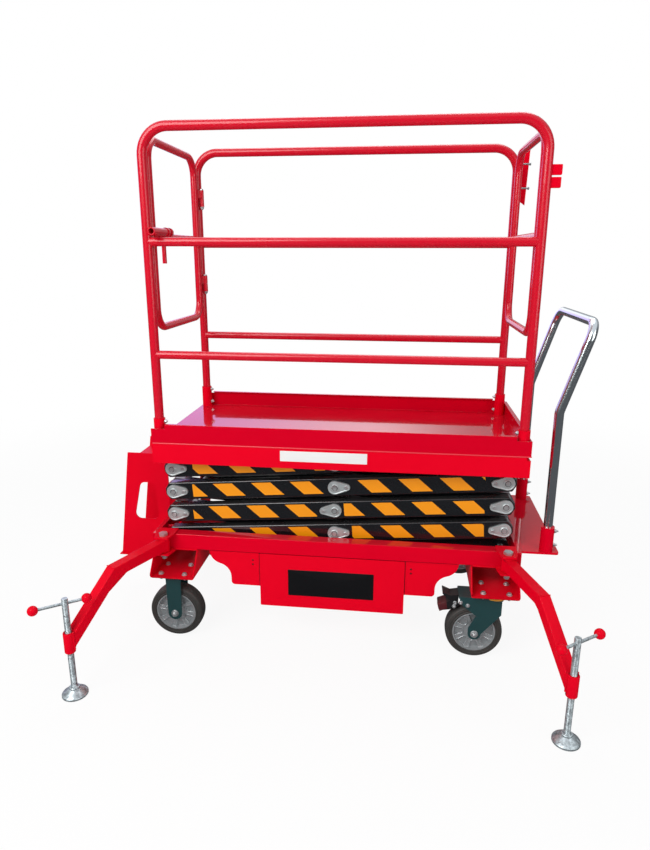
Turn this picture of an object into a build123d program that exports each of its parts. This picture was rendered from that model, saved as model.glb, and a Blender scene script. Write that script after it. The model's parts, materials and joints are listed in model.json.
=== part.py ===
"""Mobile scissor lift on casters, with guard rails, swing-out jacks and a push handle."""

import os
from math import asin, atan2, cos, degrees, radians, sin, tan

from build123d import *

os.makedirs("parts", exist_ok=True)

# Frame: X runs along the long side, Y across it, Z up, floor at Z = 0, chassis centre at X = Y = 0.

# Wheels and casters
wheel_radius = 104
wheel_width = 60
tyre_crown = 6
hub_radius = 78
hub_web = 18
hub_rim = 10
hub_boss = 23
axle_radius = 8
axle_clearance = 0.1
axle_head = 6
axle_nut_radius = 10
caster_inset = 85
caster_y = 318
swivel_offset = 69
fork_gap = 6
fork_wall = 6
fork_leg = 54
fork_crown = 60
mount_plate = 6
mount_length = 115
mount_width = 100
swivel_race = 7
swivel_play = 0.3
race_radius = 42
kingpin_radius = 12
yoke_plate = 8
yoke_front = 131
yoke_back = 27
yoke_wall = 26
leg_radius = 23
leg_heel = 64
leg_throat = 74
leg_throat_reach = 66
pedal_reach = 58
pedal_rise = 6
pedal_lever = 6
pedal_root = 30
pedal_width = 52
pedal_drop = 62
tab_reach = 70
tab_drop = 46
tab_depth = 22

# Chassis
chassis_width = 630
rail_base = 357
rail_height = 60
rail_flange = 45
rail_wall = 5
rail_fillet = 3
end_member = 16
beam_inset = 91
beam_width = 172
beam_floor = 265
beam_wall = 5
beam_length = 774
beam_fold = 10
beam_mouth = 60
beam_dip = 22
pivot_bracket = 8
pivot_boss = 8

# Skirts, covers and power pack
skirt_gap = 133
skirt_step = 83
skirt_depth = 140
skirt_plate = 4
skirt_inset = 6
skirt_corner = 14
scallop_turn = 75
cover_width = 548
cover_height = 217
cover_drop = 3
cover_plate = 3
cover_corner = 4
tray_plate = 4
tray_lift = 8
pack_length = 430
pack_width = 400
pack_height = 165

# Box at the left end
cheek_spacing = 236
cheek_plate = 4
box_foot_reach = 223
box_top_reach = 165
box_foot = 228
box_top = 673
box_lid_drop = 36
box_flange = 12
hole_foot_width = 106
hole_top_width = 50
hole_height = 160
hole_foot = 388
hole_edge = 49
hole_fillet = 24

# Handle at the right end
shelf_reach = 136
shelf_margin = 25
shelf_top = 410
shelf_plate = 8
shelf_corner = 12
handle_radius = 16
handle_width = 520
handle_inset = 42
handle_bend_z = 927
handle_top_z = 1233
handle_lean = 92
handle_bend_radius = 60
holder_wall = 7
holder_height = 92
holder_clearance = 0.5

# Scissor linkage
arm_length = 1250
arm_height = 70
arm_width = 40
arm_gap = 6
arm_side_gap = 16
pivot_inset = 71
roller_inset = 58.5
stage_rise = 91.5
stage_count = 4
pin_radius = 12
pin_clearance = 0.1
pin_end = 8
arm_reach = 33
arm_chamfer = 16
arm_chamfer_height = 24
top_end_radius = 22
taper_length = 200
cross_tube_radius = 20
cross_tube_place = 0.15
roller_radius = 21.5
roller_width = 30
roller_side_gap = 5
roller_play = 0.5
keeper_plate = 7
keeper_radius = 26
keeper_tail_radius = 13
keeper_length = 44
keeper_slot = 12
keeper_slot_radius = 5.5
pin_head = 3
pin_head_radius = 13

# Lifting cylinder
ram_low_place = 0.70
ram_high_place = 0.30
barrel_radius = 32
rod_showing = 86
barrel_floor = 50
rod_radius = 18
rod_start = 70
rod_clearance = 0.1
barrel_eye_radius = 32
rod_eye_radius = 26
eye_width = 44
ram_lug = 10
ram_lug_gap = 5
ram_lug_reach = 78
ram_lug_radius = 30

# Outriggers
jack_pivot_inset = 52
jack_pivot_y = 342
jack_arm = 40
jack_knee = 236
knee_drop = 10
jack_reach = 430
left_jack_angle = 26.9
right_jack_angle = 19.4
hinge_bush_radius = 21
hinge_bush_play = 1
gusset_plate = 8
gusset_back = 74
gusset_front = 104
lug_plate = 6
lug_half = 36
lug_tip = 26
lug_shoulder = 8
lug_reach = 28
lug_seat = 40
lug_bolt_radius = 10
lug_bolt_clearance = 0.1
lug_bolt_head = 10
lug_bolt_across = 17
lug_bolt_tail = 12
sleeve_radius = 18
sleeve_base = 164
sleeve_height = 76
sleeve_cut = 6
screw_radius = 10.5
screw_clearance = 0.1
screw_top = 365
foot_radius = 43
foot_edge = 8
foot_height = 30
foot_neck = 17
tommy_z = 346
tommy_radius = 5
tommy_length = 165
tommy_angle = 36
tommy_shift = 15
knob_radius = 16.5

# Platform
platform_x = 12
platform_shortfall = 20
platform_width = 636
deck_top = 780
deck_plate = 3
platform_frame_height = 76
platform_member = 16
frame_notch = 13
frame_notch_width = 40
toe_height = 62
front_toe_rise = 8
toe_plate = 3
toe_lip = 14
toe_notch = 8
toe_notch_length = 52
post_inset = 26
socket_wall = 4
socket_height = 88
socket_clearance = 0.5

# Guard rails
post_radius = 16.5
rail_top = 1854
rail_mid = 1490
rail_low = 1102
rail_bend = 90
mid_radius = 15
loop_radius = 14
loop_top = 1826
loop_mid = 1508
loop_base = 1190
loop_gap = 16
loop_bend = 70
hinge_high = 1673
hinge_low = 1326
hinge_radius = 9
hinge_leaf = 6
hinge_height = 64
hinge_pin_radius = 5
hinge_clearance = 0.1
hinge_offset = 24
hinge_split = 1
latch_radius = 13
latch_bore = 9
latch_bore_depth = 45
latch_offset = 35
latch_lift = 16
latch_reach = 51
latch_tail = -165
latch_clasps = (-205, -175)
latch_clasp = 12
latch_clasp_rise = 3
latch_stay = 7
latch_handle_y = -140
latch_handle_drop = 92
latch_handle_radius = 8
stay_radius = 8
stay_high = 1650
stay_low = 1330

# Derived places
fold_angle = degrees(asin(stage_rise / arm_length))
fold_cos = cos(radians(fold_angle))
fold_sin = sin(radians(fold_angle))
span = arm_length * fold_cos
chassis_length = span + pivot_inset + roller_inset
chassis_end = chassis_length / 2
pivot_x = pivot_inset - chassis_end
caster_x = chassis_end - caster_inset
beam_x = chassis_end - beam_inset
jack_pivot_x = chassis_end - jack_pivot_inset
chassis_side = chassis_width / 2
rail_crown = rail_base + rail_height
beam_crown = beam_floor + beam_wall
outer_face = chassis_side - rail_flange - arm_side_gap
inner_face = outer_face - arm_width - arm_gap
pivot_z = rail_base + rail_wall + roller_radius + roller_play
platform_length = chassis_length - platform_shortfall
platform_end = platform_length / 2
platform_side = platform_width / 2
frame_crown = deck_top - deck_plate
frame_base = frame_crown - platform_frame_height
post_x = platform_end - post_inset
post_y = platform_side - post_inset
loop_y = post_y - post_radius - loop_gap - loop_radius
corners = [("front_left", -1, -1), ("front_right", 1, -1), ("rear_left", -1, 1), ("rear_right", 1, 1)]
hands = (-1, 1)


def save(part, name):
    part.label = name
    export_step(part, f"parts/{name}.step")


def tube(points, bend, radius):
    """A round tube along a polyline with rounded corners."""
    with BuildPart() as run:
        with BuildLine() as path:
            FilletPolyline(*points, radius=bend)
        with BuildSketch(Plane(origin=path.line @ 0, z_dir=path.line % 0)):
            Circle(radius)
        sweep()
    return run.part


def rod(start, end, radius):
    """A plain round bar between two points."""
    way = Vector(*end) - Vector(*start)
    with BuildPart() as bar:
        with BuildSketch(Plane(origin=start, z_dir=way)):
            Circle(radius)
        extrude(amount=way.length)
    return bar.part


def side_channel(base, height, length, side, centre_x):
    """A C-channel along X, open towards the middle, with its web at Y = side."""
    lip = side - rail_flange if side > 0 else side + rail_flange
    web = side - rail_wall if side > 0 else side + rail_wall
    crown = base + height
    with BuildPart() as rail:
        with BuildSketch(Plane.YZ.offset(centre_x - length / 2)):
            with BuildLine():
                Polyline(
                    (lip, base),
                    (side, base),
                    (side, crown),
                    (lip, crown),
                    (lip, crown - rail_wall),
                    (web, crown - rail_wall),
                    (web, base + rail_wall),
                    (lip, base + rail_wall),
                    close=True,
                )
            make_face()
        extrude(amount=length)
        long_edges = rail.edges().filter_by(Axis.X).sort_by(Axis.Y)
        fillet(long_edges[-2:] if side > 0 else long_edges[:2], rail_fillet)
    return rail.part


# Chassis frame: two channels, a member at each end, and the fixed pivots of the lowest arms
with BuildPart() as chassis_frame:
    for hand in hands:
        add(side_channel(rail_base, rail_height, chassis_length, hand * chassis_side, 0))
    for end in hands:
        with BuildSketch(Plane.XY.offset(rail_base)):
            with Locations((end * (chassis_end - end_member / 2), 0)):
                Rectangle(end_member, chassis_width - 2 * rail_wall)
        extrude(amount=rail_height)
    for hand in hands:
        web_point = (pivot_x, hand * (chassis_side - rail_wall), pivot_z)
        add(rod(web_point, (pivot_x, hand * inner_face, pivot_z), pin_radius))
        with BuildSketch(Plane.XZ.offset(-hand * inner_face)):
            with Locations((end_member - chassis_end, pivot_z)):
                Rectangle(
                    chassis_end + pivot_x - end_member,
                    2 * (pin_radius + pivot_boss),
                    align=(Align.MIN, Align.CENTER),
                )
            with Locations((pivot_x, pivot_z)):
                Circle(pin_radius + pivot_boss)
        extrude(amount=hand * pivot_bracket)
save(chassis_frame.part, "chassis_frame")


def caster_beam(place):
    """A folded U channel across the chassis, with raked mouths and a dip under the arms."""
    with BuildPart() as beam:
        with BuildSketch(Plane.XZ.offset(-beam_length / 2)) as section:
            with Locations((place, beam_floor)):
                Rectangle(beam_width, rail_base - beam_floor, align=(Align.CENTER, Align.MIN))
            fillet(section.vertices().group_by(Axis.Y)[0], beam_fold)
            with Locations((place, beam_crown)):
                Rectangle(
                    beam_width - 2 * beam_wall,
                    rail_base - beam_floor,
                    align=(Align.CENTER, Align.MIN),
                    mode=Mode.SUBTRACT,
                )
        extrude(amount=beam_length)
        with BuildSketch(Plane.YZ.offset(place - beam_width)):
            for hand in hands:
                with BuildLine():
                    Polyline(
                        (hand * beam_length / 2, beam_crown + beam_fold),
                        (hand * beam_length / 2, rail_base),
                        (hand * (beam_length / 2 - beam_mouth), rail_base),
                        close=True,
                    )
                make_face()
            with Locations((0, rail_base)):
                Rectangle(2 * (chassis_side - rail_flange), beam_dip, align=(Align.CENTER, Align.MAX))
        extrude(amount=2 * beam_width, mode=Mode.SUBTRACT)
    return beam.part


with BuildPart() as caster_beams:
    for end in hands:
        add(caster_beam(end * beam_x))
save(caster_beams.part, "caster_beams")

# Outrigger lugs: a plate above and a plate below each corner, round the hinge bolt
with BuildPart() as outrigger_lugs:
    for name, end, hand in corners:
        for level in (rail_base - lug_plate, rail_crown):
            with BuildSketch(Plane.XY.offset(level)):
                with BuildLine():
                    Polyline(
                        (end * jack_pivot_x - lug_half, hand * (chassis_side - lug_seat)),
                        (end * jack_pivot_x - lug_half, hand * (chassis_side + lug_shoulder)),
                        (end * jack_pivot_x - lug_tip, hand * (jack_pivot_y + lug_reach)),
                        (end * jack_pivot_x + lug_tip, hand * (jack_pivot_y + lug_reach)),
                        (end * jack_pivot_x + lug_half, hand * (chassis_side + lug_shoulder)),
                        (end * jack_pivot_x + lug_half, hand * (chassis_side - lug_seat)),
                        close=True,
                    )
                make_face()
                with Locations((end * jack_pivot_x, hand * jack_pivot_y)):
                    Circle(lug_bolt_radius + lug_bolt_clearance, mode=Mode.SUBTRACT)
            extrude(amount=lug_plate)
save(outrigger_lugs.part, "outrigger_lugs")

with BuildPart() as hinge_bolts:
    bolt_foot = rail_base - lug_plate - lug_bolt_head
    bolt_crown = rail_crown + lug_plate
    for name, end, hand in corners:
        with BuildSketch(Plane.XY.offset(bolt_foot)) as bolt_shank:
            with Locations((end * jack_pivot_x, hand * jack_pivot_y)):
                Circle(lug_bolt_radius)
        extrude(amount=bolt_crown - bolt_foot)
        extrude(bolt_shank.sketch, amount=-lug_bolt_tail)
        for level in (bolt_foot, bolt_crown):
            with BuildSketch(Plane.XY.offset(level)):
                with Locations((end * jack_pivot_x, hand * jack_pivot_y)):
                    RegularPolygon(lug_bolt_across, 6)
            extrude(amount=lug_bolt_head)
save(hinge_bolts.part, "hinge_bolts")

# Skirts: plates under the side channels, each end an S-shaped scallop of two equal arcs
skirt_face = chassis_side - skirt_inset
skirt_end = caster_x - skirt_gap
scallop_radius = skirt_step / 2 / (1 - cos(radians(scallop_turn)))
with BuildPart() as skirts:
    for hand in hands:
        with BuildSketch(Plane.XZ.offset(-hand * skirt_face)) as outline:
            with BuildLine():
                shoulder = (skirt_end, rail_base)
                Line((0, rail_base), shoulder)
                hollow = JernArc(shoulder, (0, -1), scallop_radius, -scallop_turn)
                swell = JernArc(hollow @ 1, hollow % 1, scallop_radius, scallop_turn)
                heel = (skirt_end - skirt_step, rail_base - skirt_depth)
                Line(swell @ 1, heel)
                Line(heel, (0, rail_base - skirt_depth))
                mirror(about=Plane.YZ)
            make_face()
            fillet(outline.vertices().group_by(Axis.Y)[0], skirt_corner)
        extrude(amount=hand * skirt_plate)
save(skirts.part, "skirts")

# Covers: a flat panel on each skirt, which also hides the power pack's tray
cover_crown = rail_base - cover_drop
cover_foot = cover_crown - cover_height
with BuildPart() as covers:
    for hand in hands:
        with BuildSketch(Plane.XZ.offset(-hand * skirt_face)):
            with Locations((0, cover_foot + cover_height / 2)):
                RectangleRounded(cover_width, cover_height, cover_corner)
        extrude(amount=-hand * cover_plate)
save(covers.part, "covers")

with BuildPart() as pack_tray:
    with BuildSketch(Plane.XY.offset(cover_foot + tray_lift)):
        Rectangle(cover_width - 2 * tray_lift, 2 * skirt_face)
    extrude(amount=tray_plate)
save(pack_tray.part, "pack_tray")

with BuildPart() as power_pack:
    with BuildSketch(Plane.XY.offset(cover_foot + tray_lift + tray_plate)):
        Rectangle(pack_length, pack_width)
    extrude(amount=pack_height)
    fillet(power_pack.edges().filter_by(Axis.Z), cover_corner)
save(power_pack.part, "power_pack")

# End box: two cheeks with hand holes, a recessed lid and a flanged floor
with BuildPart() as end_box:
    for hand in hands:
        with BuildSketch(Plane.XZ.offset(-hand * cheek_spacing / 2)):
            with BuildLine():
                Polyline(
                    (-chassis_end, box_foot),
                    (-chassis_end - box_foot_reach, box_foot),
                    (-chassis_end - box_top_reach, box_top),
                    (-chassis_end, box_top),
                    close=True,
                )
            make_face()
            hole_right = -chassis_end - hole_edge
            hole_lean = (box_foot_reach - box_top_reach) / (box_top - box_foot) * hole_height
            with BuildSketch(mode=Mode.PRIVATE) as hole:
                with BuildLine():
                    Polyline(
                        (hole_right, hole_foot),
                        (hole_right - hole_foot_width, hole_foot),
                        (hole_right - hole_top_width - hole_lean, hole_foot + hole_height),
                        (hole_right - hole_lean / 2, hole_foot + hole_height),
                        close=True,
                    )
                make_face()
                fillet(hole.vertices(), hole_fillet)
            add(hole.sketch, mode=Mode.SUBTRACT)
        extrude(amount=-hand * cheek_plate)
    with BuildSketch(Plane.XY.offset(box_top - box_lid_drop)):
        with Locations((-chassis_end, 0)):
            Rectangle(box_top_reach - cheek_plate, cheek_spacing, align=(Align.MAX, Align.CENTER))
    extrude(amount=-cheek_plate)
    with BuildSketch(Plane.XY.offset(box_foot)):
        with Locations((-chassis_end, 0)):
            Rectangle(
                box_foot_reach + box_flange / 2,
                cheek_spacing + 2 * cheek_plate + 2 * box_flange,
                align=(Align.MAX, Align.CENTER),
            )
    extrude(amount=-cheek_plate)
save(end_box.part, "end_box")

# Handle shelf: a plate on the right end with two round holders for the push handle
handle_x = chassis_end + shelf_reach - handle_inset
with BuildPart() as handle_shelf:
    with BuildSketch(Plane.XY.offset(shelf_top)) as shelf:
        with Locations((chassis_end, 0)):
            Rectangle(shelf_reach, handle_width + 2 * shelf_margin, align=(Align.MIN, Align.CENTER))
        fillet(shelf.vertices().group_by(Axis.X)[-1], shelf_corner)
    extrude(amount=-shelf_plate)
    for hand in hands:
        with BuildSketch(Plane.XY.offset(shelf_top)):
            with Locations((handle_x, hand * handle_width / 2)):
                Circle(handle_radius + holder_clearance + holder_wall)
                Circle(handle_radius + holder_clearance, mode=Mode.SUBTRACT)
        extrude(amount=holder_height)
save(handle_shelf.part, "handle_shelf")

push_handle = tube(
    [
        (handle_x, -handle_width / 2, shelf_top),
        (handle_x, -handle_width / 2, handle_bend_z),
        (handle_x + handle_lean, -handle_width / 2, handle_top_z),
        (handle_x + handle_lean, handle_width / 2, handle_top_z),
        (handle_x, handle_width / 2, handle_bend_z),
        (handle_x, handle_width / 2, shelf_top),
    ],
    handle_bend_radius,
    handle_radius,
)
save(push_handle, "push_handle")


def arm_plane(family, stage, y):
    """The plane of an arm: origin at its lower pin, local X along it, local Y square to it and up."""
    lower_z = pivot_z + (stage - 1) * stage_rise
    if family == "outer":
        return Plane(origin=(pivot_x, y, lower_z), x_dir=(fold_cos, 0, fold_sin), z_dir=(0, -1, 0))
    return Plane(origin=(pivot_x + span, y, lower_z), x_dir=(-fold_cos, 0, fold_sin), z_dir=(0, 1, 0))


def arm_bar(family, stage, hand, bores):
    """One side bar of an arm, its ends cut to half octagons, tapered and round at the top stage's end."""
    face = outer_face if family == "outer" else inner_face
    with BuildPart() as bar:
        with BuildSketch(arm_plane(family, stage, hand * (face - arm_width / 2))) as outline:
            half = arm_height / 2
            shoulder = arm_reach - arm_chamfer
            flat = half - arm_chamfer_height
            far_end = arm_length - taper_length if stage == stage_count else arm_length + shoulder
            with BuildLine():
                Polyline(
                    (-arm_reach, -flat),
                    (-shoulder, -half),
                    (far_end, -half),
                    (far_end, half),
                    (-shoulder, half),
                    (-arm_reach, flat),
                    close=True,
                )
            if stage == stage_count:
                with Locations((arm_length, 0)):
                    Circle(top_end_radius)
            else:
                with Locations((arm_length + arm_reach, 0)):
                    Rectangle(arm_chamfer, 2 * flat, align=(Align.MAX, Align.CENTER))
            make_hull()
            with Locations(*[(place * arm_length, 0) for place in bores]):
                Circle(pin_radius + pin_clearance, mode=Mode.SUBTRACT)
        extrude(amount=arm_width / 2, both=True)
    return bar.part


def across(family, stage, place, half_width, radius):
    """A round bar across the machine at a place along an arm."""
    centre = arm_plane(family, stage, 0).from_local_coords((place * arm_length, 0, 0))
    return rod((centre.X, -half_width, centre.Z), (centre.X, half_width, centre.Z), radius)


def roller_shaft(family, stage, place, hand):
    """A stub shaft with a roller that runs in a side channel."""
    face = outer_face if family == "outer" else inner_face
    centre = arm_plane(family, stage, 0).from_local_coords((place * arm_length, 0, 0))
    roller_out = chassis_side - rail_wall - roller_side_gap
    with BuildPart() as shaft:
        tip = (centre.X, hand * roller_out, centre.Z)
        add(rod((centre.X, hand * (face - arm_width), centre.Z), tip, pin_radius))
        add(rod((centre.X, hand * (roller_out - roller_width), centre.Z), tip, roller_radius))
    return shaft.part


# Outer arms: the two outside bars of each stage, which rise from left to right
for stage in range(1, stage_count + 1):
    bores = (0, 0.5) if stage == stage_count else (0, 0.5, 1)
    with BuildPart() as outer_arm:
        for hand in hands:
            add(arm_bar("outer", stage, hand, bores))
            if stage == stage_count:
                add(roller_shaft("outer", stage, 1, hand))
    save(outer_arm.part, f"outer_arm_{stage}")

# Inner arms: the two inside bars of each stage, joined by cross tubes
ram_tube_places = {1: ram_low_place, 2: ram_high_place - ram_lug_reach / arm_length}
for stage in range(1, stage_count + 1):
    bores = (0.5, 1) if stage == 1 else (0, 0.5, 1)
    tubes = [cross_tube_place, 1 - cross_tube_place]
    if stage in ram_tube_places:
        tubes.append(ram_tube_places[stage])
    with BuildPart() as inner_arm:
        for hand in hands:
            add(arm_bar("inner", stage, hand, bores))
            if stage == 1:
                add(roller_shaft("inner", stage, 0, hand))
        for place in tubes:
            add(across("inner", stage, place, inner_face - arm_width, cross_tube_radius))
        if stage == 2:
            for hand in hands:
                lug_y = hand * (eye_width / 2 + ram_lug_gap + ram_lug / 2)
                with BuildSketch(arm_plane("inner", stage, lug_y)):
                    with Locations((ram_high_place * arm_length - ram_lug_reach, 0)):
                        Circle(ram_lug_radius)
                    with Locations((ram_high_place * arm_length, 0)):
                        Circle(ram_lug_radius)
                    make_hull()
                    with Locations((ram_high_place * arm_length, 0)):
                        Circle(rod_radius, mode=Mode.SUBTRACT)
                extrude(amount=ram_lug / 2, both=True)
    save(inner_arm.part, f"inner_arm_{stage}")


def keeper(stage, place, tail, hand):
    """A teardrop keeper plate on an outer arm's face, its tail along the arm, with the pin's head."""
    normal = -hand
    with BuildPart() as plate:
        with BuildSketch(arm_plane("outer", stage, hand * outer_face)):
            with Locations((place * arm_length, 0)):
                Circle(keeper_radius)
            with Locations((place * arm_length + tail * keeper_length, 0)):
                Circle(keeper_tail_radius)
            make_hull()
            slot_centre = place * arm_length + tail * (keeper_length - keeper_slot / 2)
            with Locations((slot_centre, 0)):
                SlotCenterToCenter(keeper_slot, 2 * keeper_slot_radius, mode=Mode.SUBTRACT)
        extrude(amount=normal * keeper_plate)
        with BuildSketch(arm_plane("outer", stage, hand * (outer_face + keeper_plate))):
            with Locations((place * arm_length, 0)):
                Circle(pin_head_radius)
        extrude(amount=normal * pin_head)
    return plate.part


# Arm pins: the end pins run right across, the middle pins are stubs; each ends in keeper plates
for stage in range(1, stage_count + 1):
    with BuildPart() as arm_pins:
        if stage > 1:
            add(across("outer", stage, 0, outer_face, pin_radius))
        if stage < stage_count:
            add(across("outer", stage, 1, outer_face, pin_radius))
        middle = arm_plane("outer", stage, 0).from_local_coords((arm_length / 2, 0, 0))
        for hand in hands:
            stub_end = (middle.X, hand * (inner_face - arm_width - pin_end), middle.Z)
            add(rod(stub_end, (middle.X, hand * outer_face, middle.Z), pin_radius))
            add(keeper(stage, 0.5, 1 if stage % 2 else -1, hand))
            if stage > 1:
                add(keeper(stage, 0, 1, hand))
            if stage < stage_count:
                add(keeper(stage, 1, -1, hand))
    save(arm_pins.part, f"arm_pins_{stage}")

# Lifting cylinder: the barrel turns on a cross tube of the first stage, the rod reaches to the second
ram_low = arm_plane("inner", 1, 0).from_local_coords((ram_low_place * arm_length, 0, 0))
ram_high = arm_plane("inner", 2, 0).from_local_coords((ram_high_place * arm_length, 0, 0))
ram_way = ram_high - ram_low
ram_plane = Plane(origin=ram_low, z_dir=ram_way)
barrel_length = ram_way.length - rod_showing
with BuildPart() as ram_barrel:
    with BuildSketch(Plane.XZ.offset(-eye_width / 2)):
        with Locations((ram_low.X, ram_low.Z)):
            Circle(barrel_eye_radius)
    extrude(amount=eye_width)
    with BuildSketch(ram_plane):
        Circle(barrel_radius)
    extrude(amount=barrel_length)
    with BuildSketch(ram_plane.offset(barrel_floor)):
        Circle(rod_radius + rod_clearance)
    extrude(amount=barrel_length, mode=Mode.SUBTRACT)
    with BuildSketch(Plane.XZ.offset(-barrel_radius)):
        with Locations((ram_low.X, ram_low.Z)):
            Circle(cross_tube_radius + pin_clearance)
    extrude(amount=2 * barrel_radius, mode=Mode.SUBTRACT)
save(ram_barrel.part, "ram_barrel")

with BuildPart() as ram_rod:
    with BuildSketch(ram_plane.offset(rod_start)):
        Circle(rod_radius)
    extrude(amount=ram_way.length - rod_start)
    with BuildSketch(Plane.XZ.offset(-eye_width / 2)):
        with Locations((ram_high.X, ram_high.Z)):
            Circle(rod_eye_radius)
    extrude(amount=eye_width)
save(ram_rod.part, "ram_rod")

# Platform frame: two channels and end members under the deck, with the fixed pivots of the top arms
with BuildPart() as platform_frame:
    for hand in hands:
        side = hand * platform_side
        add(side_channel(frame_base, platform_frame_height, platform_length, side, platform_x))
    for end in hands:
        with BuildSketch(Plane.XY.offset(frame_base)):
            with Locations((platform_x + end * (platform_end - platform_member / 2), 0)):
                Rectangle(platform_member, platform_width - 2 * rail_wall)
        extrude(amount=platform_frame_height)
    top_z = pivot_z + stage_count * stage_rise
    for hand in hands:
        pin_in = hand * (inner_face - arm_width - pin_end)
        add(rod((pivot_x, hand * (platform_side - rail_wall), top_z), (pivot_x, pin_in, top_z), pin_radius))
    with BuildSketch(Plane.XY.offset(frame_crown)):
        for hand in hands:
            with Locations((platform_x + platform_end, hand * platform_side)):
                Rectangle(2 * frame_notch, 2 * frame_notch_width)
    extrude(amount=-frame_notch, mode=Mode.SUBTRACT)
save(platform_frame.part, "platform_frame")

# Deck tray: the floor plate with toe boards on three sides, the front one higher and all lower at the corners
with BuildPart() as deck_tray:
    with BuildSketch(Plane.XY.offset(frame_crown)):
        with Locations((platform_x, 0)):
            Rectangle(platform_length, platform_width)
    extrude(amount=deck_plate)
    lip_base = deck_top + toe_height - toe_plate
    for level, depth, board in ((deck_top, lip_base - deck_top, toe_plate), (lip_base, toe_plate, toe_lip)):
        with BuildSketch(Plane.XY.offset(level)):
            with Locations((platform_x, platform_side)):
                Rectangle(platform_length, board, align=(Align.CENTER, Align.MAX))
            with Locations((platform_x + platform_end, 0)):
                Rectangle(board, platform_width, align=(Align.MAX, Align.CENTER))
        extrude(amount=depth)
    front_lip_base = lip_base + front_toe_rise
    front_layers = ((deck_top, front_lip_base - deck_top, toe_plate), (front_lip_base, toe_plate, toe_lip))
    for level, depth, board in front_layers:
        with BuildSketch(Plane.XY.offset(level)):
            with Locations((platform_x, -platform_side)):
                Rectangle(platform_length, board, align=(Align.CENTER, Align.MIN))
        extrude(amount=depth)
    with BuildSketch(Plane.XY.offset(deck_top + toe_height - toe_notch)):
        for end in hands:
            for hand in hands:
                with Locations((platform_x + end * platform_end, hand * platform_side)):
                    Rectangle(2 * toe_notch_length, 2 * toe_notch_length)
    extrude(amount=toe_notch + front_toe_rise, mode=Mode.SUBTRACT)
save(deck_tray.part, "deck_tray")

socket_bore = post_radius + socket_clearance
with BuildPart() as post_sockets:
    with BuildSketch(Plane.XY.offset(deck_top)):
        for name, end, hand in corners:
            with Locations((platform_x + end * post_x, hand * post_y)):
                Circle(socket_bore + socket_wall)
                Circle(socket_bore, mode=Mode.SUBTRACT)
    extrude(amount=socket_height)
save(post_sockets.part, "post_sockets")


def guard_frame(y):
    """An inverted U of tube with a middle and a lower rail between its posts."""
    left = platform_x - post_x
    right = platform_x + post_x
    with BuildPart() as guard:
        hoop = [(left, y, deck_top), (left, y, rail_top), (right, y, rail_top), (right, y, deck_top)]
        add(tube(hoop, rail_bend, post_radius))
        for level in (rail_mid, rail_low):
            add(rod((left, y, level), (right, y, level), mid_radius))
    return guard.part


save(guard_frame(-post_y), "front_guard")
save(guard_frame(post_y), "rear_guard")


def end_loop(x):
    """A rounded loop of tube across the end, with a middle bar."""
    with BuildPart() as loop:
        for hand in hands:
            side = hand * loop_y
            half_loop = [(x, 0, loop_base), (x, side, loop_base), (x, side, loop_top), (x, 0, loop_top)]
            add(tube(half_loop, loop_bend, loop_radius))
        add(rod((x, -loop_y, loop_mid), (x, loop_y, loop_mid), loop_radius))
    return loop.part


# End guard: the loop at the right end, held to the posts by short stays
right_x = platform_x + post_x
with BuildPart() as end_guard:
    add(end_loop(right_x))
    for hand in hands:
        for level in (stay_high, stay_low):
            add(rod((right_x, hand * loop_y, level), (right_x, hand * post_y, level), stay_radius))
        post = rod((right_x, hand * post_y, deck_top), (right_x, hand * post_y, rail_top), post_radius)
        add(post, mode=Mode.SUBTRACT)
save(end_guard.part, "end_guard")

# Entry gate: the loop at the left end, hinged on the rear post, with an open latch tube past the front post
gate_x = platform_x - post_x
hinge_x = gate_x + hinge_offset
hinge_y = (loop_y + loop_radius + post_y - post_radius) / 2
with BuildPart() as gate:
    add(end_loop(gate_x))
    for level in (hinge_high, hinge_low):
        with BuildSketch(Plane.XY.offset(level + hinge_split)):
            with Locations((hinge_x, hinge_y)):
                Circle(hinge_radius)
            with BuildLine():
                Polyline(
                    (gate_x, loop_y - hinge_leaf),
                    (gate_x, loop_y + hinge_leaf),
                    (hinge_x, hinge_y + hinge_leaf / 2),
                    (hinge_x, hinge_y - hinge_leaf),
                    close=True,
                )
            make_face()
            with Locations((hinge_x, hinge_y)):
                Circle(hinge_pin_radius + hinge_clearance, mode=Mode.SUBTRACT)
        extrude(amount=hinge_height / 2)
    latch_x = gate_x + latch_offset
    latch_z = loop_mid + latch_lift
    latch_tip = -post_y - latch_reach
    latch_mouth = (latch_x, latch_tip, latch_z)
    add(rod(latch_mouth, (latch_x, latch_tail, latch_z), latch_radius))
    for place in latch_clasps:
        clasp_start = (latch_x, place - latch_clasp / 2, latch_z)
        clasp_end = (latch_x, place + latch_clasp / 2, latch_z)
        add(rod(clasp_start, clasp_end, latch_radius + latch_clasp_rise))
        add(rod((gate_x, place, loop_mid), (latch_x, place, latch_z), latch_stay))
    add(rod(latch_mouth, (latch_x, latch_tip + latch_bore_depth, latch_z), latch_bore), mode=Mode.SUBTRACT)
    latch_handle_foot = (gate_x, latch_handle_y, loop_mid - latch_handle_drop)
    add(rod((gate_x, latch_handle_y, loop_mid), latch_handle_foot, latch_handle_radius))
save(gate.part, "gate")

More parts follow.
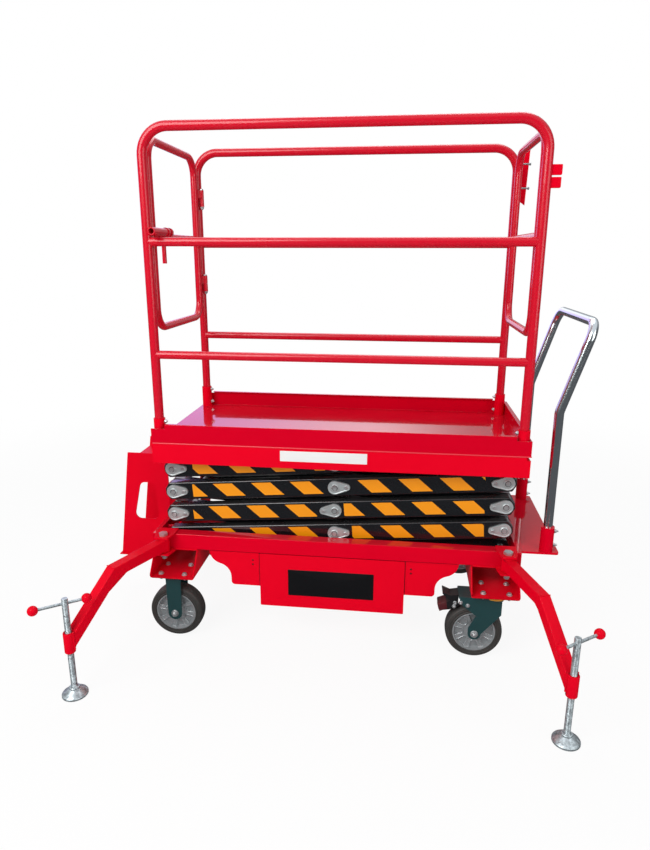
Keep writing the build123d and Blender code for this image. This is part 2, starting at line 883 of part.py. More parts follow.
with BuildPart() as gate_hinges:
    for level in (hinge_high, hinge_low):
        with BuildSketch(Plane.XY.offset(level - hinge_height / 2)):
            with Locations((hinge_x, hinge_y)):
                Circle(hinge_radius)
            with BuildLine():
                Polyline(
                    (gate_x, post_y - hinge_leaf),
                    (gate_x, post_y + hinge_leaf),
                    (hinge_x, hinge_y + hinge_leaf),
                    (hinge_x, hinge_y - hinge_leaf / 2),
                    close=True,
                )
            make_face()
        extrude(amount=hinge_height / 2)
        add(rod((hinge_x, hinge_y, level), (hinge_x, hinge_y, level + hinge_height / 2), hinge_pin_radius))
    add(rod((gate_x, post_y, deck_top), (gate_x, post_y, rail_top), post_radius), mode=Mode.SUBTRACT)
save(gate_hinges.part, "gate_hinges")

# Fixed casters on the left, swivel casters on the right
fork_half = wheel_width / 2 + fork_gap
mount_floor = beam_floor - mount_plate


def mount_plates(x, y):
    """The bolted top plate of a caster."""
    with BuildPart() as plate:
        with BuildSketch(Plane.XY.offset(mount_floor)):
            with Locations((x, y)):
                RectangleRounded(mount_length, mount_width, cover_corner)
        extrude(amount=mount_plate)
    return plate.part


def axle(x, y):
    """A wheel's axle bolt between fork legs, with a head at each side."""
    with BuildPart() as bolt:
        reach = fork_half + fork_wall
        add(rod((x, y - reach, wheel_radius), (x, y + reach, wheel_radius), axle_radius))
        for hand in hands:
            with BuildSketch(Plane.XZ.offset(-(y + hand * reach))):
                with Locations((x, wheel_radius)):
                    RegularPolygon(axle_nut_radius, 6)
            extrude(amount=-hand * axle_head)
    return bolt.part


with BuildPart() as fixed_forks:
    for hand in hands:
        y = hand * caster_y
        add(mount_plates(-caster_x, y))
        add(axle(-caster_x, y))
        for side in hands:
            with BuildSketch(Plane.XZ.offset(-(y + side * fork_half))):
                with Locations((-caster_x, wheel_radius)):
                    Circle(fork_leg / 2)
                with Locations((-caster_x, mount_floor)):
                    Rectangle(fork_crown, yoke_plate, align=(Align.CENTER, Align.MAX))
                make_hull()
            extrude(amount=-side * fork_wall)
save(fixed_forks.part, "fixed_forks")

yoke_crown = mount_floor - swivel_race - swivel_play
with BuildPart() as swivel_mounts:
    for hand in hands:
        add(mount_plates(caster_x, hand * caster_y))
        with BuildSketch(Plane.XY.offset(mount_floor)):
            with Locations((caster_x, hand * caster_y)):
                Circle(race_radius)
        extrude(amount=-swivel_race)
        pin_foot = (caster_x, hand * caster_y, yoke_crown - yoke_plate - pin_end)
        add(rod((caster_x, hand * caster_y, mount_floor), pin_foot, kingpin_radius))
save(swivel_mounts.part, "swivel_mounts")

# Swivel forks: a long top plate with side walls that narrow to the axle, and a brake pedal at its end
swivel_wheel_x = caster_x - swivel_offset
yoke_left = caster_x - yoke_front
yoke_right = caster_x + yoke_back
yoke_half = fork_half + fork_wall
pedal_crown = yoke_crown + pedal_rise
for name, end, hand in corners:
    if end < 0:
        continue
    y = hand * caster_y
    with BuildPart() as swivel_fork:
        with BuildSketch(Plane.XY.offset(yoke_crown)):
            with Locations(((yoke_left + yoke_right) / 2, y)):
                RectangleRounded(yoke_front + yoke_back, 2 * yoke_half, cover_corner)
            with Locations((caster_x, y)):
                Circle(kingpin_radius + axle_clearance, mode=Mode.SUBTRACT)
        extrude(amount=-yoke_plate)
        add(axle(swivel_wheel_x, y))
        for side in hands:
            with BuildSketch(Plane.XZ.offset(-(y + side * fork_half))):
                with BuildLine():
                    Polyline(
                        (yoke_left + cover_corner, yoke_crown),
                        (yoke_right - cover_corner, yoke_crown),
                        (yoke_right - cover_corner, yoke_crown - leg_heel),
                        (swivel_wheel_x + leg_radius, wheel_radius),
                        (swivel_wheel_x - leg_radius, wheel_radius),
                        (swivel_wheel_x - leg_radius, wheel_radius + leg_radius),
                        (caster_x - leg_throat_reach, yoke_crown - leg_throat),
                        (yoke_left + cover_corner, yoke_crown - yoke_wall),
                        close=True,
                    )
                make_face()
                with Locations((swivel_wheel_x, wheel_radius)):
                    Circle(leg_radius)
            extrude(amount=-side * fork_wall)
    save(swivel_fork.part, f"swivel_fork_{name}")
    with BuildPart() as brake_pedal:
        with BuildSketch(Plane.XZ.offset(-(y + pedal_width / 2))):
            with BuildLine():
                Polyline(
                    (yoke_left, yoke_crown),
                    (yoke_left - pedal_reach / 2, yoke_crown - pedal_lever),
                    (yoke_left - pedal_reach, pedal_crown),
                    (yoke_left - pedal_reach, pedal_crown - pedal_lever),
                    (yoke_left - pedal_root, yoke_crown - yoke_wall),
                    (yoke_left - tab_reach, yoke_crown - tab_drop),
                    (yoke_left - tab_reach + pedal_lever, yoke_crown - tab_drop - tab_depth),
                    (yoke_left - pedal_root, yoke_crown - pedal_drop),
                    (yoke_left, yoke_crown - tab_drop),
                    close=True,
                )
            make_face()
        extrude(amount=pedal_width)
    save(brake_pedal.part, f"brake_pedal_{name}")

# Wheels: a moulded hub with a deep web and a rubber tyre with a crowned tread
for name, end, hand in corners:
    x = -caster_x if end < 0 else swivel_wheel_x
    section = Plane(origin=(x, hand * caster_y, wheel_radius), x_dir=(0, 1, 0), z_dir=(1, 0, 0))
    turn = Axis((x, hand * caster_y, wheel_radius), (0, 1, 0))
    half = wheel_width / 2
    with BuildPart() as hub:
        with BuildSketch(section):
            with BuildLine():
                Polyline(
                    (-half, axle_radius + axle_clearance),
                    (half, axle_radius + axle_clearance),
                    (half, hub_boss),
                    (hub_web / 2, hub_boss + hub_rim),
                    (hub_web / 2, hub_radius - 2 * hub_rim),
                    (half, hub_radius - hub_rim),
                    (half, hub_radius),
                    (-half, hub_radius),
                    (-half, hub_radius - hub_rim),
                    (-hub_web / 2, hub_radius - 2 * hub_rim),
                    (-hub_web / 2, hub_boss + hub_rim),
                    (-half, hub_boss),
                    close=True,
                )
            make_face()
        revolve(axis=turn)
    save(hub.part, f"wheel_{name}")
    with BuildPart() as tyre:
        with BuildSketch(section):
            with BuildLine():
                crown = ThreePointArc(
                    (-half, wheel_radius - tyre_crown), (0, wheel_radius), (half, wheel_radius - tyre_crown)
                )
                Polyline(crown @ 1, (half, hub_radius), (-half, hub_radius), crown @ 0)
            make_face()
        revolve(axis=turn)
    save(tyre.part, f"tyre_{name}")

# Outriggers: a square tube out from the hinge bolt, a mitred knee, and a sleeve for the jack screw
arm_floor = rail_base + (rail_height - jack_arm) / 2
for name, end, hand in corners:
    swing = left_jack_angle if end < 0 else right_jack_angle
    out = Vector(end * sin(radians(swing)), hand * cos(radians(swing)), 0)
    root = Vector(end * jack_pivot_x, hand * jack_pivot_y, 0)
    upright = Plane(origin=root, x_dir=out, z_dir=out.cross(Vector(0, 0, 1)))
    mid_z = arm_floor + jack_arm / 2
    knee_z = mid_z - knee_drop
    drop_z = sleeve_base + sleeve_height / 2
    with BuildPart() as jack_arm_part:
        half = jack_arm / 2
        slope = atan2(knee_z - drop_z, jack_reach - jack_knee)
        mitre = half * tan(slope / 2)
        end_x = jack_reach - sleeve_cut
        end_z = drop_z + sleeve_cut * tan(slope)
        inner_x = jack_knee - mitre
        inner_z = knee_z - half
        with BuildSketch(upright):
            with BuildLine():
                Polyline(
                    (0, mid_z + half),
                    (jack_knee + mitre, knee_z + half),
                    (end_x, end_z + half / cos(slope)),
                    (end_x, end_z - half / cos(slope)),
                    (inner_x, inner_z),
                    (0, mid_z - half),
                    close=True,
                )
            make_face()
        extrude(amount=half, both=True)
        with BuildSketch(upright):
            with BuildLine():
                Polyline(
                    (inner_x, inner_z),
                    (inner_x - gusset_back, inner_z + knee_drop * gusset_back / jack_knee),
                    (inner_x + gusset_front * cos(slope), inner_z - gusset_front * sin(slope)),
                    close=True,
                )
            make_face()
        extrude(amount=gusset_plate / 2, both=True)
        with BuildSketch(Plane.XY.offset(rail_base + hinge_bush_play)):
            with Locations((root.X, root.Y)):
                Circle(hinge_bush_radius)
        extrude(amount=rail_height - 2 * hinge_bush_play)
        foot = root + out * jack_reach
        with BuildSketch(Plane.XY.offset(sleeve_base)):
            with Locations((foot.X, foot.Y)):
                Circle(sleeve_radius)
        extrude(amount=sleeve_height)
        with BuildSketch(Plane.XY):
            with Locations((foot.X, foot.Y)):
                Circle(screw_radius + screw_clearance)
            with Locations((root.X, root.Y)):
                Circle(lug_bolt_radius + lug_bolt_clearance)
        extrude(amount=rail_crown, mode=Mode.SUBTRACT)
    save(jack_arm_part.part, f"outrigger_{name}")
    with BuildPart() as jack:
        section = Plane(origin=foot, x_dir=(1, 0, 0), z_dir=(0, -1, 0))
        with BuildSketch(section):
            with BuildLine():
                Polyline(
                    (0, 0),
                    (foot_radius, 0),
                    (foot_radius, foot_edge),
                    (foot_neck, foot_height),
                    (screw_radius, foot_height),
                    (screw_radius, screw_top),
                    (0, screw_top),
                    close=True,
                )
            make_face()
        revolve(axis=Axis(foot, (0, 0, 1)))
        bar_way = Vector(cos(radians(tommy_angle)), -hand * sin(radians(tommy_angle)), 0)
        bar_half = bar_way * (tommy_length / 2)
        bar_centre = foot + bar_way * (end * tommy_shift) + Vector(0, 0, tommy_z)
        with Locations(bar_centre + bar_half, bar_centre - bar_half):
            Sphere(knob_radius)
        add(rod(bar_centre + bar_half, bar_centre - bar_half, tommy_radius))
    save(jack.part, f"jack_{name}")
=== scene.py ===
import json
import math

import bmesh
import bpy
import numpy as np
from mathutils import Matrix, Vector


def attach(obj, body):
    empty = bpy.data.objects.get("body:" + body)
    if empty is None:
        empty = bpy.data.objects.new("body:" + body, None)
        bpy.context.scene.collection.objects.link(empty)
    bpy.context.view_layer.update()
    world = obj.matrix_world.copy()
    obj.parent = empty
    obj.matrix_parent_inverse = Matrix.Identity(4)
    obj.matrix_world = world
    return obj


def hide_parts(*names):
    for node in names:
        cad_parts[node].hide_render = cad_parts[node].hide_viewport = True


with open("model.json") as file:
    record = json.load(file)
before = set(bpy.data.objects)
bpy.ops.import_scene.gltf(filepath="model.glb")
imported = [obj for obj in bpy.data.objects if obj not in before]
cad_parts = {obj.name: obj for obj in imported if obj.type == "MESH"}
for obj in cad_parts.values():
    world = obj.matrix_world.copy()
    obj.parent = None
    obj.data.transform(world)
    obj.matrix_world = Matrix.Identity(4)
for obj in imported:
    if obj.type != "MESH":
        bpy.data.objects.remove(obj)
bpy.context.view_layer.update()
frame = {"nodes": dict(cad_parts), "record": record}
nodes = frame["nodes"]
scene = bpy.context.scene
scene.view_settings.view_transform = "Standard"
corners = {"front_left": (-1, -1), "front_right": (1, -1), "rear_left": (-1, 1), "rear_right": (1, 1)}
layout = {  # places shared by several pieces, in metres
    "casterX": 0.603073, "casterY": 0.318, "swivelX": 0.534073, "beamX": 0.597073, "beamFloor": 0.270,
    "mountFloor": 0.259, "wheelRadius": 0.104, "railBase": 0.357, "railTop": 0.417, "side": 0.315,
    "jackX": 0.636073, "jackY": 0.342, "jackReach": 0.430,
    "platformX": 0.012, "platformEnd": 0.678073, "platformSide": 0.318, "postX": 0.652073, "postY": 0.292}
print("frame loaded:", len(nodes), "nodes")

# camera, fitted to the photograph's edges
cameraView = {"place": (0.2360, -2.4674, 1.4523), "yaw": 6.89, "pitch": 15.077, "roll": 0.117, "lens": 26.94}


def makeCamera(view):
    yaw, pitch, roll = (math.radians(view[k]) for k in ("yaw", "pitch", "roll"))
    look = Vector((-math.sin(yaw) * math.cos(pitch), math.cos(yaw) * math.cos(pitch), -math.sin(pitch)))
    right = Vector((math.cos(yaw), math.sin(yaw), 0))
    up = right.cross(look)
    side = right * math.cos(roll) + up * math.sin(roll)
    top = up * math.cos(roll) - right * math.sin(roll)
    data = bpy.data.cameras.new("camera")
    data.sensor_fit = "AUTO"
    data.sensor_width = 36
    data.lens = view["lens"]
    data.clip_end = 100
    camera = bpy.data.objects.new("camera", data)
    scene.collection.objects.link(camera)
    camera.matrix_world = Matrix.Translation(view["place"]) @ Matrix((side, top, -look)).transposed().to_4x4()
    scene.camera = camera


makeCamera(cameraView)
print("camera ready")


# quads of a grid of rows by columns, closed on itself where a wrap is asked for
def sheetFaces(rows, cols, wrapRows=False, wrapCols=False):
    rowList, colList = np.arange(rows if wrapRows else rows - 1), np.arange(cols if wrapCols else cols - 1)
    r, c = np.meshgrid(rowList, colList, indexing="ij")
    r2, c2 = (r + 1) % rows, (c + 1) % cols
    return np.stack([r * cols + c, r * cols + c2, r2 * cols + c2, r2 * cols + c], -1).reshape(-1, 4)


# a profile of (radius, height) turned about Z: (r cos a, r sin a, h); a ring closes on itself
def turned(profile, steps=32, ring=False):
    profile = np.asarray(profile, float)
    a = np.linspace(0, 2 * np.pi, steps, endpoint=False)
    r, h = profile[:, :1], profile[:, 1:]
    verts = np.stack([r * np.cos(a), r * np.sin(a), h + 0 * a], -1).reshape(-1, 3)
    return verts, sheetFaces(len(profile), steps, wrapRows=ring, wrapCols=True)


# a closed outline carried along a path, turned with it and closed by a point at each end
def swept(path, outline, scale=None):
    path, outline = np.asarray(path, float), np.asarray(outline, float)
    ahead = np.gradient(path, axis=0)
    ahead /= np.linalg.norm(ahead, axis=1, keepdims=True)
    hint = np.array([0, 0, 1.0]) if np.abs(ahead[:, 2]).max() < 0.9 else np.array([0.31, 0.95, 0.05])
    side = np.cross(ahead, hint)
    side /= np.linalg.norm(side, axis=1, keepdims=True)
    top = np.cross(side, ahead)
    wide = np.ones(len(path)) if scale is None else np.asarray(scale, float)
    spread = outline[None, :, :] * wide[:, None, None]
    verts = path[:, None, :] + spread[..., :1] * side[:, None, :] + spread[..., 1:] * top[:, None, :]
    count = len(outline)
    verts = np.concatenate([np.repeat(path[:1, None], count, 1), verts, np.repeat(path[-1:, None], count, 1)])
    return verts.reshape(-1, 3), sheetFaces(len(path) + 2, count, wrapCols=True)


def ringOutline(radius, steps=12):
    a = np.linspace(0, 2 * np.pi, steps, endpoint=False)
    return np.stack([radius * np.cos(a), radius * np.sin(a)], -1)


# a rectangle with round corners, its edge walked evenly by angle
def roundedRectangle(halfX, halfY, corner, steps=8):
    a = np.linspace(0, np.pi / 2, steps)
    quarters = [(halfX - corner, halfY - corner, 0), (corner - halfX, halfY - corner, 1),
                (corner - halfX, corner - halfY, 2), (halfX - corner, corner - halfY, 3)]
    return np.concatenate([np.stack([x + corner * np.cos(a + q * np.pi / 2),
                                     y + corner * np.sin(a + q * np.pi / 2)], -1) for x, y, q in quarters])


# a closed outline raised from low to high, its rims rounded by stepping inwards along the outline's normals
def raisedPlate(outline, low, high, rim=0.0008):
    outline = np.asarray(outline, float)
    way = np.roll(outline, -1, 0) - np.roll(outline, 1, 0)
    normal = np.stack([way[:, 1], -way[:, 0]], -1)
    normal /= np.linalg.norm(normal, axis=1, keepdims=True)
    t = np.linspace(0, np.pi / 2, 4)
    inset = np.concatenate([[1], 1 - np.sin(t), (1 - np.sin(t))[::-1], [1]]) * rim
    height = np.concatenate([[low], low + (1 - np.cos(t)) * rim, high - (1 - np.cos(t))[::-1] * rim, [high]])
    ring = outline[None] - normal[None] * inset[:, None, None]
    ring[0] = ring[-1] = outline.mean(0)
    verts = np.concatenate([ring, np.broadcast_to(height[:, None, None], ring.shape[:2] + (1,))], -1)
    return verts.reshape(-1, 3), sheetFaces(len(height), len(outline), wrapCols=True)


# the same plate drawn in X and Z and raised along Y
def plateAlongY(outline, low, high, rim=0.0008):
    verts, faces = raisedPlate(outline, low, high, rim)
    return verts[:, [0, 2, 1]], faces


# a hexagon's edge in polar form, apothem / cos(angle within its sixth), chamfered at the top
def hexHead(across, height, chamfer=0.0012, steps=48):
    a = np.linspace(0, 2 * np.pi, steps, endpoint=False)
    reach = across / 2 / np.cos((a + np.pi / 6) % (np.pi / 3) - np.pi / 6)
    crown = np.minimum(reach, across / 2 * 0.96)
    radius = np.stack([0 * a, reach, reach, np.minimum(reach, across / 2 * 1.03), crown, 0 * a])
    level = np.array([0, 0, height - chamfer, height - chamfer * 0.4, height, height])
    verts = np.stack([radius * np.cos(a), radius * np.sin(a), level[:, None] + 0 * a], -1).reshape(-1, 3)
    return verts, sheetFaces(len(level), steps, wrapCols=True)


# a washer, a hexagon nut and the rounded end of a bolt, one on the other
def boltEnd(across, height, shank=0.0, washer=0.0015):
    w, r = across * 0.72, across * 0.30
    shapes = [turned([(0, 0), (w, 0), (w, washer * 0.7), (w - 0.0006, washer), (0, washer)], 40)]
    verts, faces = hexHead(across, height)
    shapes.append((verts + [0, 0, washer], faces))
    if shank:
        top = washer + height
        shapes.append(turned([(0, top - 0.001), (r, top - 0.001), (r, top + shank - r * 0.3),
                              (r * 0.7, top + shank), (0, top + shank)], 24))
    return joined(*shapes)


# one shape set out at many places: each place is an origin and the direction of the shape's own Z
def setOut(shape, places, ways, turns=None):
    verts, faces = shape
    places = np.atleast_2d(np.asarray(places, float))
    ways = np.broadcast_to(np.asarray(ways, float), places.shape)
    ways = ways / np.linalg.norm(ways, axis=1, keepdims=True)
    hint = np.where(np.abs(ways[:, 2:]) < 0.9, np.array([[0, 0, 1.0]]), np.array([[1.0, 0, 0]]))
    x = np.cross(hint, ways)
    x /= np.linalg.norm(x, axis=1, keepdims=True)
    y = np.cross(ways, x)
    if turns is not None:
        c, s = np.cos(turns)[:, None], np.sin(turns)[:, None]
        x, y = x * c + y * s, y * c - x * s
    spread = verts[None, :, :1] * x[:, None] + verts[None, :, 1:2] * y[:, None] + verts[None, :, 2:] * ways[:, None]
    step = np.arange(len(places))[:, None, None] * len(verts)
    return (places[:, None] + spread).reshape(-1, 3), (faces[None] + step).reshape(-1, faces.shape[1])


def joined(*shapes):
    start = np.cumsum([0] + [len(v) for v, f in shapes[:-1]])
    return np.concatenate([v for v, f in shapes]), np.concatenate([f + s for (v, f), s in zip(shapes, start)])


# a weld run: a round bead along a line whose width ripples with every drop of metal
def weldBead(start, end, radius=0.0032, drop=0.006):
    start, end = np.asarray(start, float), np.asarray(end, float)
    length = np.linalg.norm(end - start)
    t = np.linspace(0, 1, max(int(length / drop * 6), 12))
    ripple = 1 + 0.16 * np.sin(t * length / drop * 2 * np.pi) + 0.07 * np.sin(t * length / drop * 5.3)
    return swept(start + (end - start) * t[:, None], ringOutline(radius, 10), ripple)


# puts a numpy shape into a mesh, closes its poles and seams, and lets it ride on a body
def makePiece(name, shape, body, finish, sharp=35, stands=()):
    verts, faces = shape
    mesh = bpy.data.meshes.new(name)
    mesh.vertices.add(len(verts))
    mesh.vertices.foreach_set("co", np.ascontiguousarray(verts, np.float32).ravel())
    mesh.loops.add(faces.size)
    mesh.loops.foreach_set("vertex_index", np.ascontiguousarray(faces, np.int32).ravel())
    mesh.polygons.add(len(faces))
    mesh.polygons.foreach_set("loop_start", np.arange(len(faces), dtype=np.int32) * faces.shape[1])
    mesh.update(calc_edges=True)
    work = bmesh.new()
    work.from_mesh(mesh)
    bmesh.ops.remove_doubles(work, verts=work.verts, dist=1e-6)
    bmesh.ops.dissolve_degenerate(work, edges=work.edges, dist=1e-7)
    bmesh.ops.recalc_face_normals(work, faces=work.faces)
    work.to_mesh(mesh)
    work.free()
    mesh.polygons.foreach_set("use_smooth", np.ones(len(mesh.polygons), bool))
    mesh.set_sharp_from_angle(angle=math.radians(sharp))
    mesh.materials.append(paint[finish])
    piece = bpy.data.objects.new(name, mesh)
    scene.collection.objects.link(piece)
    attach(piece, body)
    if stands:
        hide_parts(*stands)


# gives an input a link or a plain value
def feed(tree, socket, value):
    if isinstance(value, bpy.types.NodeSocket):
        tree.links.new(value, socket)
    else:
        socket.default_value = value


def mathNode(tree, operation, a, b=None, c=None, clamp=False):
    node = tree.nodes.new("ShaderNodeMath")
    node.operation = operation
    node.use_clamp = clamp
    for socket, value in zip(node.inputs, (a, b, c)):
        if value is not None:
            feed(tree, socket, value)
    return node.outputs[0]


def mixColours(tree, factor, first, second):
    mix = tree.nodes.new("ShaderNodeMix")
    mix.data_type = "RGBA"
    for label, value in (("Factor", factor), ("A", first), ("B", second)):
        feed(tree, mix.inputs[label], value)
    return mix.outputs["Result"]


def splitVector(tree, vector):
    split = tree.nodes.new("ShaderNodeSeparateXYZ")
    tree.links.new(vector, split.inputs[0])
    return split.outputs


def noiseNode(tree, vector, scale, detail=3.0, rough=0.55):
    node = tree.nodes.new("ShaderNodeTexNoise")
    for label, value in (("Vector", vector), ("Scale", scale), ("Detail", detail), ("Roughness", rough)):
        feed(tree, node.inputs[label], value)
    return node.outputs["Fac"]


# a coat of paint or plating: broad tone drift, soft dust on upward faces, fine scuffs and a skin height
def buildSkinGroup():
    group = bpy.data.node_groups.new("surfaceSkin", "ShaderNodeTree")
    for label, value in (("Colour", (0.5, 0.5, 0.5, 1)), ("Drift", 0.1), ("Dust", 0.1), ("Rough", 0.3),
                         ("Skin Scale", 300.0), ("Scuff", 0.2), ("Patch Scale", 5.0)):
        kind = "NodeSocketColor" if label == "Colour" else "NodeSocketFloat"
        group.interface.new_socket(name=label, in_out="INPUT", socket_type=kind).default_value = value
    for label in ("Colour", "Roughness", "Height"):
        kind = "NodeSocketColor" if label == "Colour" else "NodeSocketFloat"
        group.interface.new_socket(name=label, in_out="OUTPUT", socket_type=kind)
    gin, gout = group.nodes.new("NodeGroupInput"), group.nodes.new("NodeGroupOutput")
    spot = group.nodes.new("ShaderNodeTexCoord").outputs["Object"]
    facing = splitVector(group, group.nodes.new("ShaderNodeNewGeometry").outputs["Normal"])
    broad = noiseNode(group, spot, gin.outputs["Patch Scale"], 4.0)
    fine = noiseNode(group, spot, gin.outputs["Skin Scale"], 2.0)
    speck = noiseNode(group, spot, 60.0, 6.0, 0.7)
    tone = mathNode(group, "MULTIPLY_ADD", mathNode(group, "SUBTRACT", broad, 0.5), gin.outputs["Drift"], 1.0)
    shade = group.nodes.new("ShaderNodeVectorMath")
    shade.operation = "SCALE"
    group.links.new(gin.outputs["Colour"], shade.inputs[0])
    group.links.new(tone, shade.inputs["Scale"])
    upward = mathNode(group, "MULTIPLY", mathNode(group, "MAXIMUM", facing["Z"], 0.0), gin.outputs["Dust"])
    lying = mathNode(group, "MULTIPLY", upward, mathNode(group, "MULTIPLY", speck, broad), clamp=True)
    colour = mixColours(group, lying, shade.outputs[0], (0.42, 0.39, 0.37, 1))  # the dust's own colour
    scuffed = mathNode(group, "MULTIPLY", mathNode(group, "GREATER_THAN", speck, 0.62), gin.outputs["Scuff"])
    wide = mathNode(group, "MULTIPLY_ADD", mathNode(group, "SUBTRACT", broad, 0.5), 0.12, gin.outputs["Rough"])
    worn = mathNode(group, "MULTIPLY_ADD", scuffed, 0.12, wide)
    rough = mathNode(group, "ADD", worn, mathNode(group, "MULTIPLY", lying, 0.4), clamp=True)
    group.links.new(colour, gout.inputs["Colour"])
    group.links.new(rough, gout.inputs["Roughness"])
    group.links.new(fine, gout.inputs["Height"])
    return group


skinGroup = buildSkinGroup()

# what most finishes share; each row below says what differs
plainFinish = {"metal": 0, "coat": 0, "coatIor": 1.5, "coatRough": 0.05, "patch": 5.0, "dust": 0.1, "scuff": 0.2,
               "gloss": 0.5, "bumpDepth": 0.0006, "upward": 0.7}
finishes = {
    "redEnamel": {"colour": (0.76, 0.0003, 0.015), "rough": 0.3, "coat": 0.02, "drift": 0.08, "dust": 0.04,
                  "scale": 260, "bump": 0.04, "gloss": 0.03},
    "redTube": {"colour": (0.62, 0.0006, 0.017), "rough": 0.26, "coat": 0.35, "drift": 0.06, "dust": 0.04,
                "scale": 260, "bump": 0.03, "gloss": 0.35},
    # a lighter pink-red for the fold line at deck level: painted highlight of the glint on its rounded edge
    "foldHighlightRed": {"colour": (0.8, 0.05, 0.07), "rough": 0.3, "coat": 0.2, "drift": 0.15, "dust": 0.04, "scale": 260,
                "bump": 0.04},
    "galvanised": {"colour": (0.43, 0.49, 0.51), "metal": 0.65, "rough": 0.36, "drift": 2.6, "patch": 110.0,
                   "dust": 0.2, "scale": 240, "bump": 0.5, "scuff": 1.0},
    "redDeck": {"colour": (0.68, 0.0003, 0.016), "rough": 0.16, "coat": 0.9, "drift": 0.1, "dust": 0.05,
                "scale": 90, "bump": 0.05, "scuff": 0.4, "gloss": 0.03, "coatUpOnly": True},
    "redPlatform": {"colour": (0.61, 0.0003, 0.015), "rough": 0.16, "coat": 1.0, "drift": 0.1, "dust": 0.05,
                    "scale": 90, "bump": 0.05, "scuff": 0.4, "gloss": 0.03, "coatUpOnly": True, "coatIor": 1.6},
    "blackPaint": {"colour": (0.0045, 0.0055, 0.007), "rough": 0.26, "coat": 0.9, "drift": 0.3, "dust": 0.2,
                   "scale": 320, "bump": 0.07, "scuff": 0.5},
    "tapeOrange": {"colour": (0.86, 0.3, 0.001), "rough": 0.42, "drift": 0.06, "scale": 500, "bump": 0.05,
                   "gloss": 0.3},
    "castGrey": {"colour": (0.55, 0.6, 0.6), "metal": 0.55, "rough": 0.36, "drift": 0.35, "scale": 900,
                 "bump": 0.25, "scuff": 0.6},
    "zincPlate": {"colour": (0.56, 0.575, 0.58), "metal": 0.75, "rough": 0.34, "drift": 0.5, "scale": 700,
                  "bump": 0.12, "scuff": 0.6},
    "darkChrome": {"colour": (0.72, 0.79, 0.8), "metal": 1.0, "rough": 0.17, "drift": 0.1, "dust": 0.03,
                   "scale": 400, "bump": 0.0, "scuff": 0.1},
    "forkGreen": {"colour": (0.01, 0.052, 0.055), "rough": 0.36, "coat": 0.1, "drift": 0.3, "dust": 0.3,
                  "scale": 500, "bump": 0.1, "scuff": 0.5},
    "hubGrey": {"colour": (0.3, 0.32, 0.33), "metal": 0.25, "rough": 0.3, "drift": 0.15, "scale": 600, "bump": 0.08,
                "scuff": 0.4},
    # a lighter silver copy of the hub's grey for the pocket edges: painted highlight
    "hubEdgeHighlight": {"colour": (0.56, 0.59, 0.6), "metal": 0.6, "rough": 0.24, "drift": 0.2, "scale": 600,
                  "bump": 0.05, "scuff": 0.4},
    "tyreRubber": {"colour": (0.04, 0.037, 0.034), "rough": 0.6, "drift": 0.5, "dust": 0.35, "scale": 700,
                   "bump": 0.25, "scuff": 0.6, "gloss": 0.4},
    "pedalBlack": {"colour": (0.01, 0.01, 0.011), "rough": 0.4, "drift": 0.3, "dust": 0.3, "scale": 700,
                   "bump": 0.12, "scuff": 0.4},
    "plateBlack": {"colour": (0.005, 0.005, 0.006), "rough": 0.3, "coat": 0.1, "drift": 0.2, "scale": 300,
                   "bump": 0.04, "gloss": 0.3},
    "stripWhite": {"colour": (0.8, 0.8, 0.79), "rough": 0.4, "drift": 0.06, "scale": 400, "bump": 0.04,
                   "gloss": 0.3},
    # near-black for the seam beads: painted shade in the corners
    "seamShadow": {"colour": (0.03, 0.002, 0.004), "rough": 0.6, "drift": 0.4, "dust": 0.2, "scale": 400,
                   "bump": 0.1, "scuff": 0.3, "gloss": 0.2},
    "padRed": {"colour": (0.085, 0.006, 0.01), "rough": 0.45, "drift": 0.3, "dust": 0.3, "scale": 700, "bump": 0.15,
               "scuff": 0.5},
    "dustYellow": {"colour": (0.62, 0.27, 0.015), "rough": 0.45, "drift": 0.2, "dust": 0.3, "scale": 500,
                   "bump": 0.08, "scuff": 0.4, "gloss": 0.4},
}


def makeFinish(name, look):
    look = {**plainFinish, **look}
    material = bpy.data.materials.new(name)
    material.use_nodes = True
    tree = material.node_tree
    shader = tree.nodes["Principled BSDF"]
    skin = tree.nodes.new("ShaderNodeGroup")
    skin.node_tree = skinGroup
    skin.inputs["Colour"].default_value = (*look["colour"], 1)
    for label, key in (("Drift", "drift"), ("Dust", "dust"), ("Rough", "rough"), ("Skin Scale", "scale"),
                       ("Scuff", "scuff"), ("Patch Scale", "patch")):
        skin.inputs[label].default_value = look[key]
    bump = tree.nodes.new("ShaderNodeBump")
    bump.inputs["Strength"].default_value = look["bump"]
    bump.inputs["Distance"].default_value = look["bumpDepth"]
    tree.links.new(skin.outputs["Colour"], shader.inputs["Base Color"])
    tree.links.new(skin.outputs["Roughness"], shader.inputs["Roughness"])
    tree.links.new(skin.outputs["Height"], bump.inputs["Height"])
    tree.links.new(bump.outputs["Normal"], shader.inputs["Normal"])
    for label, key in (("Metallic", "metal"), ("Specular IOR Level", "gloss"), ("Coat Weight", "coat"),
                       ("Coat Roughness", "coatRough"), ("Coat IOR", "coatIor")):
        shader.inputs[label].default_value = look[key]
    if look.get("coatUpOnly"):  # the floor of the tray is polished, its boards are not
        facing = splitVector(tree, tree.nodes.new("ShaderNodeNewGeometry").outputs["True Normal"])
        upward = mathNode(tree, "GREATER_THAN", facing["Z"], look["upward"])
        tree.links.new(mathNode(tree, "MULTIPLY", upward, look["coat"]), shader.inputs["Coat Weight"])
    return material


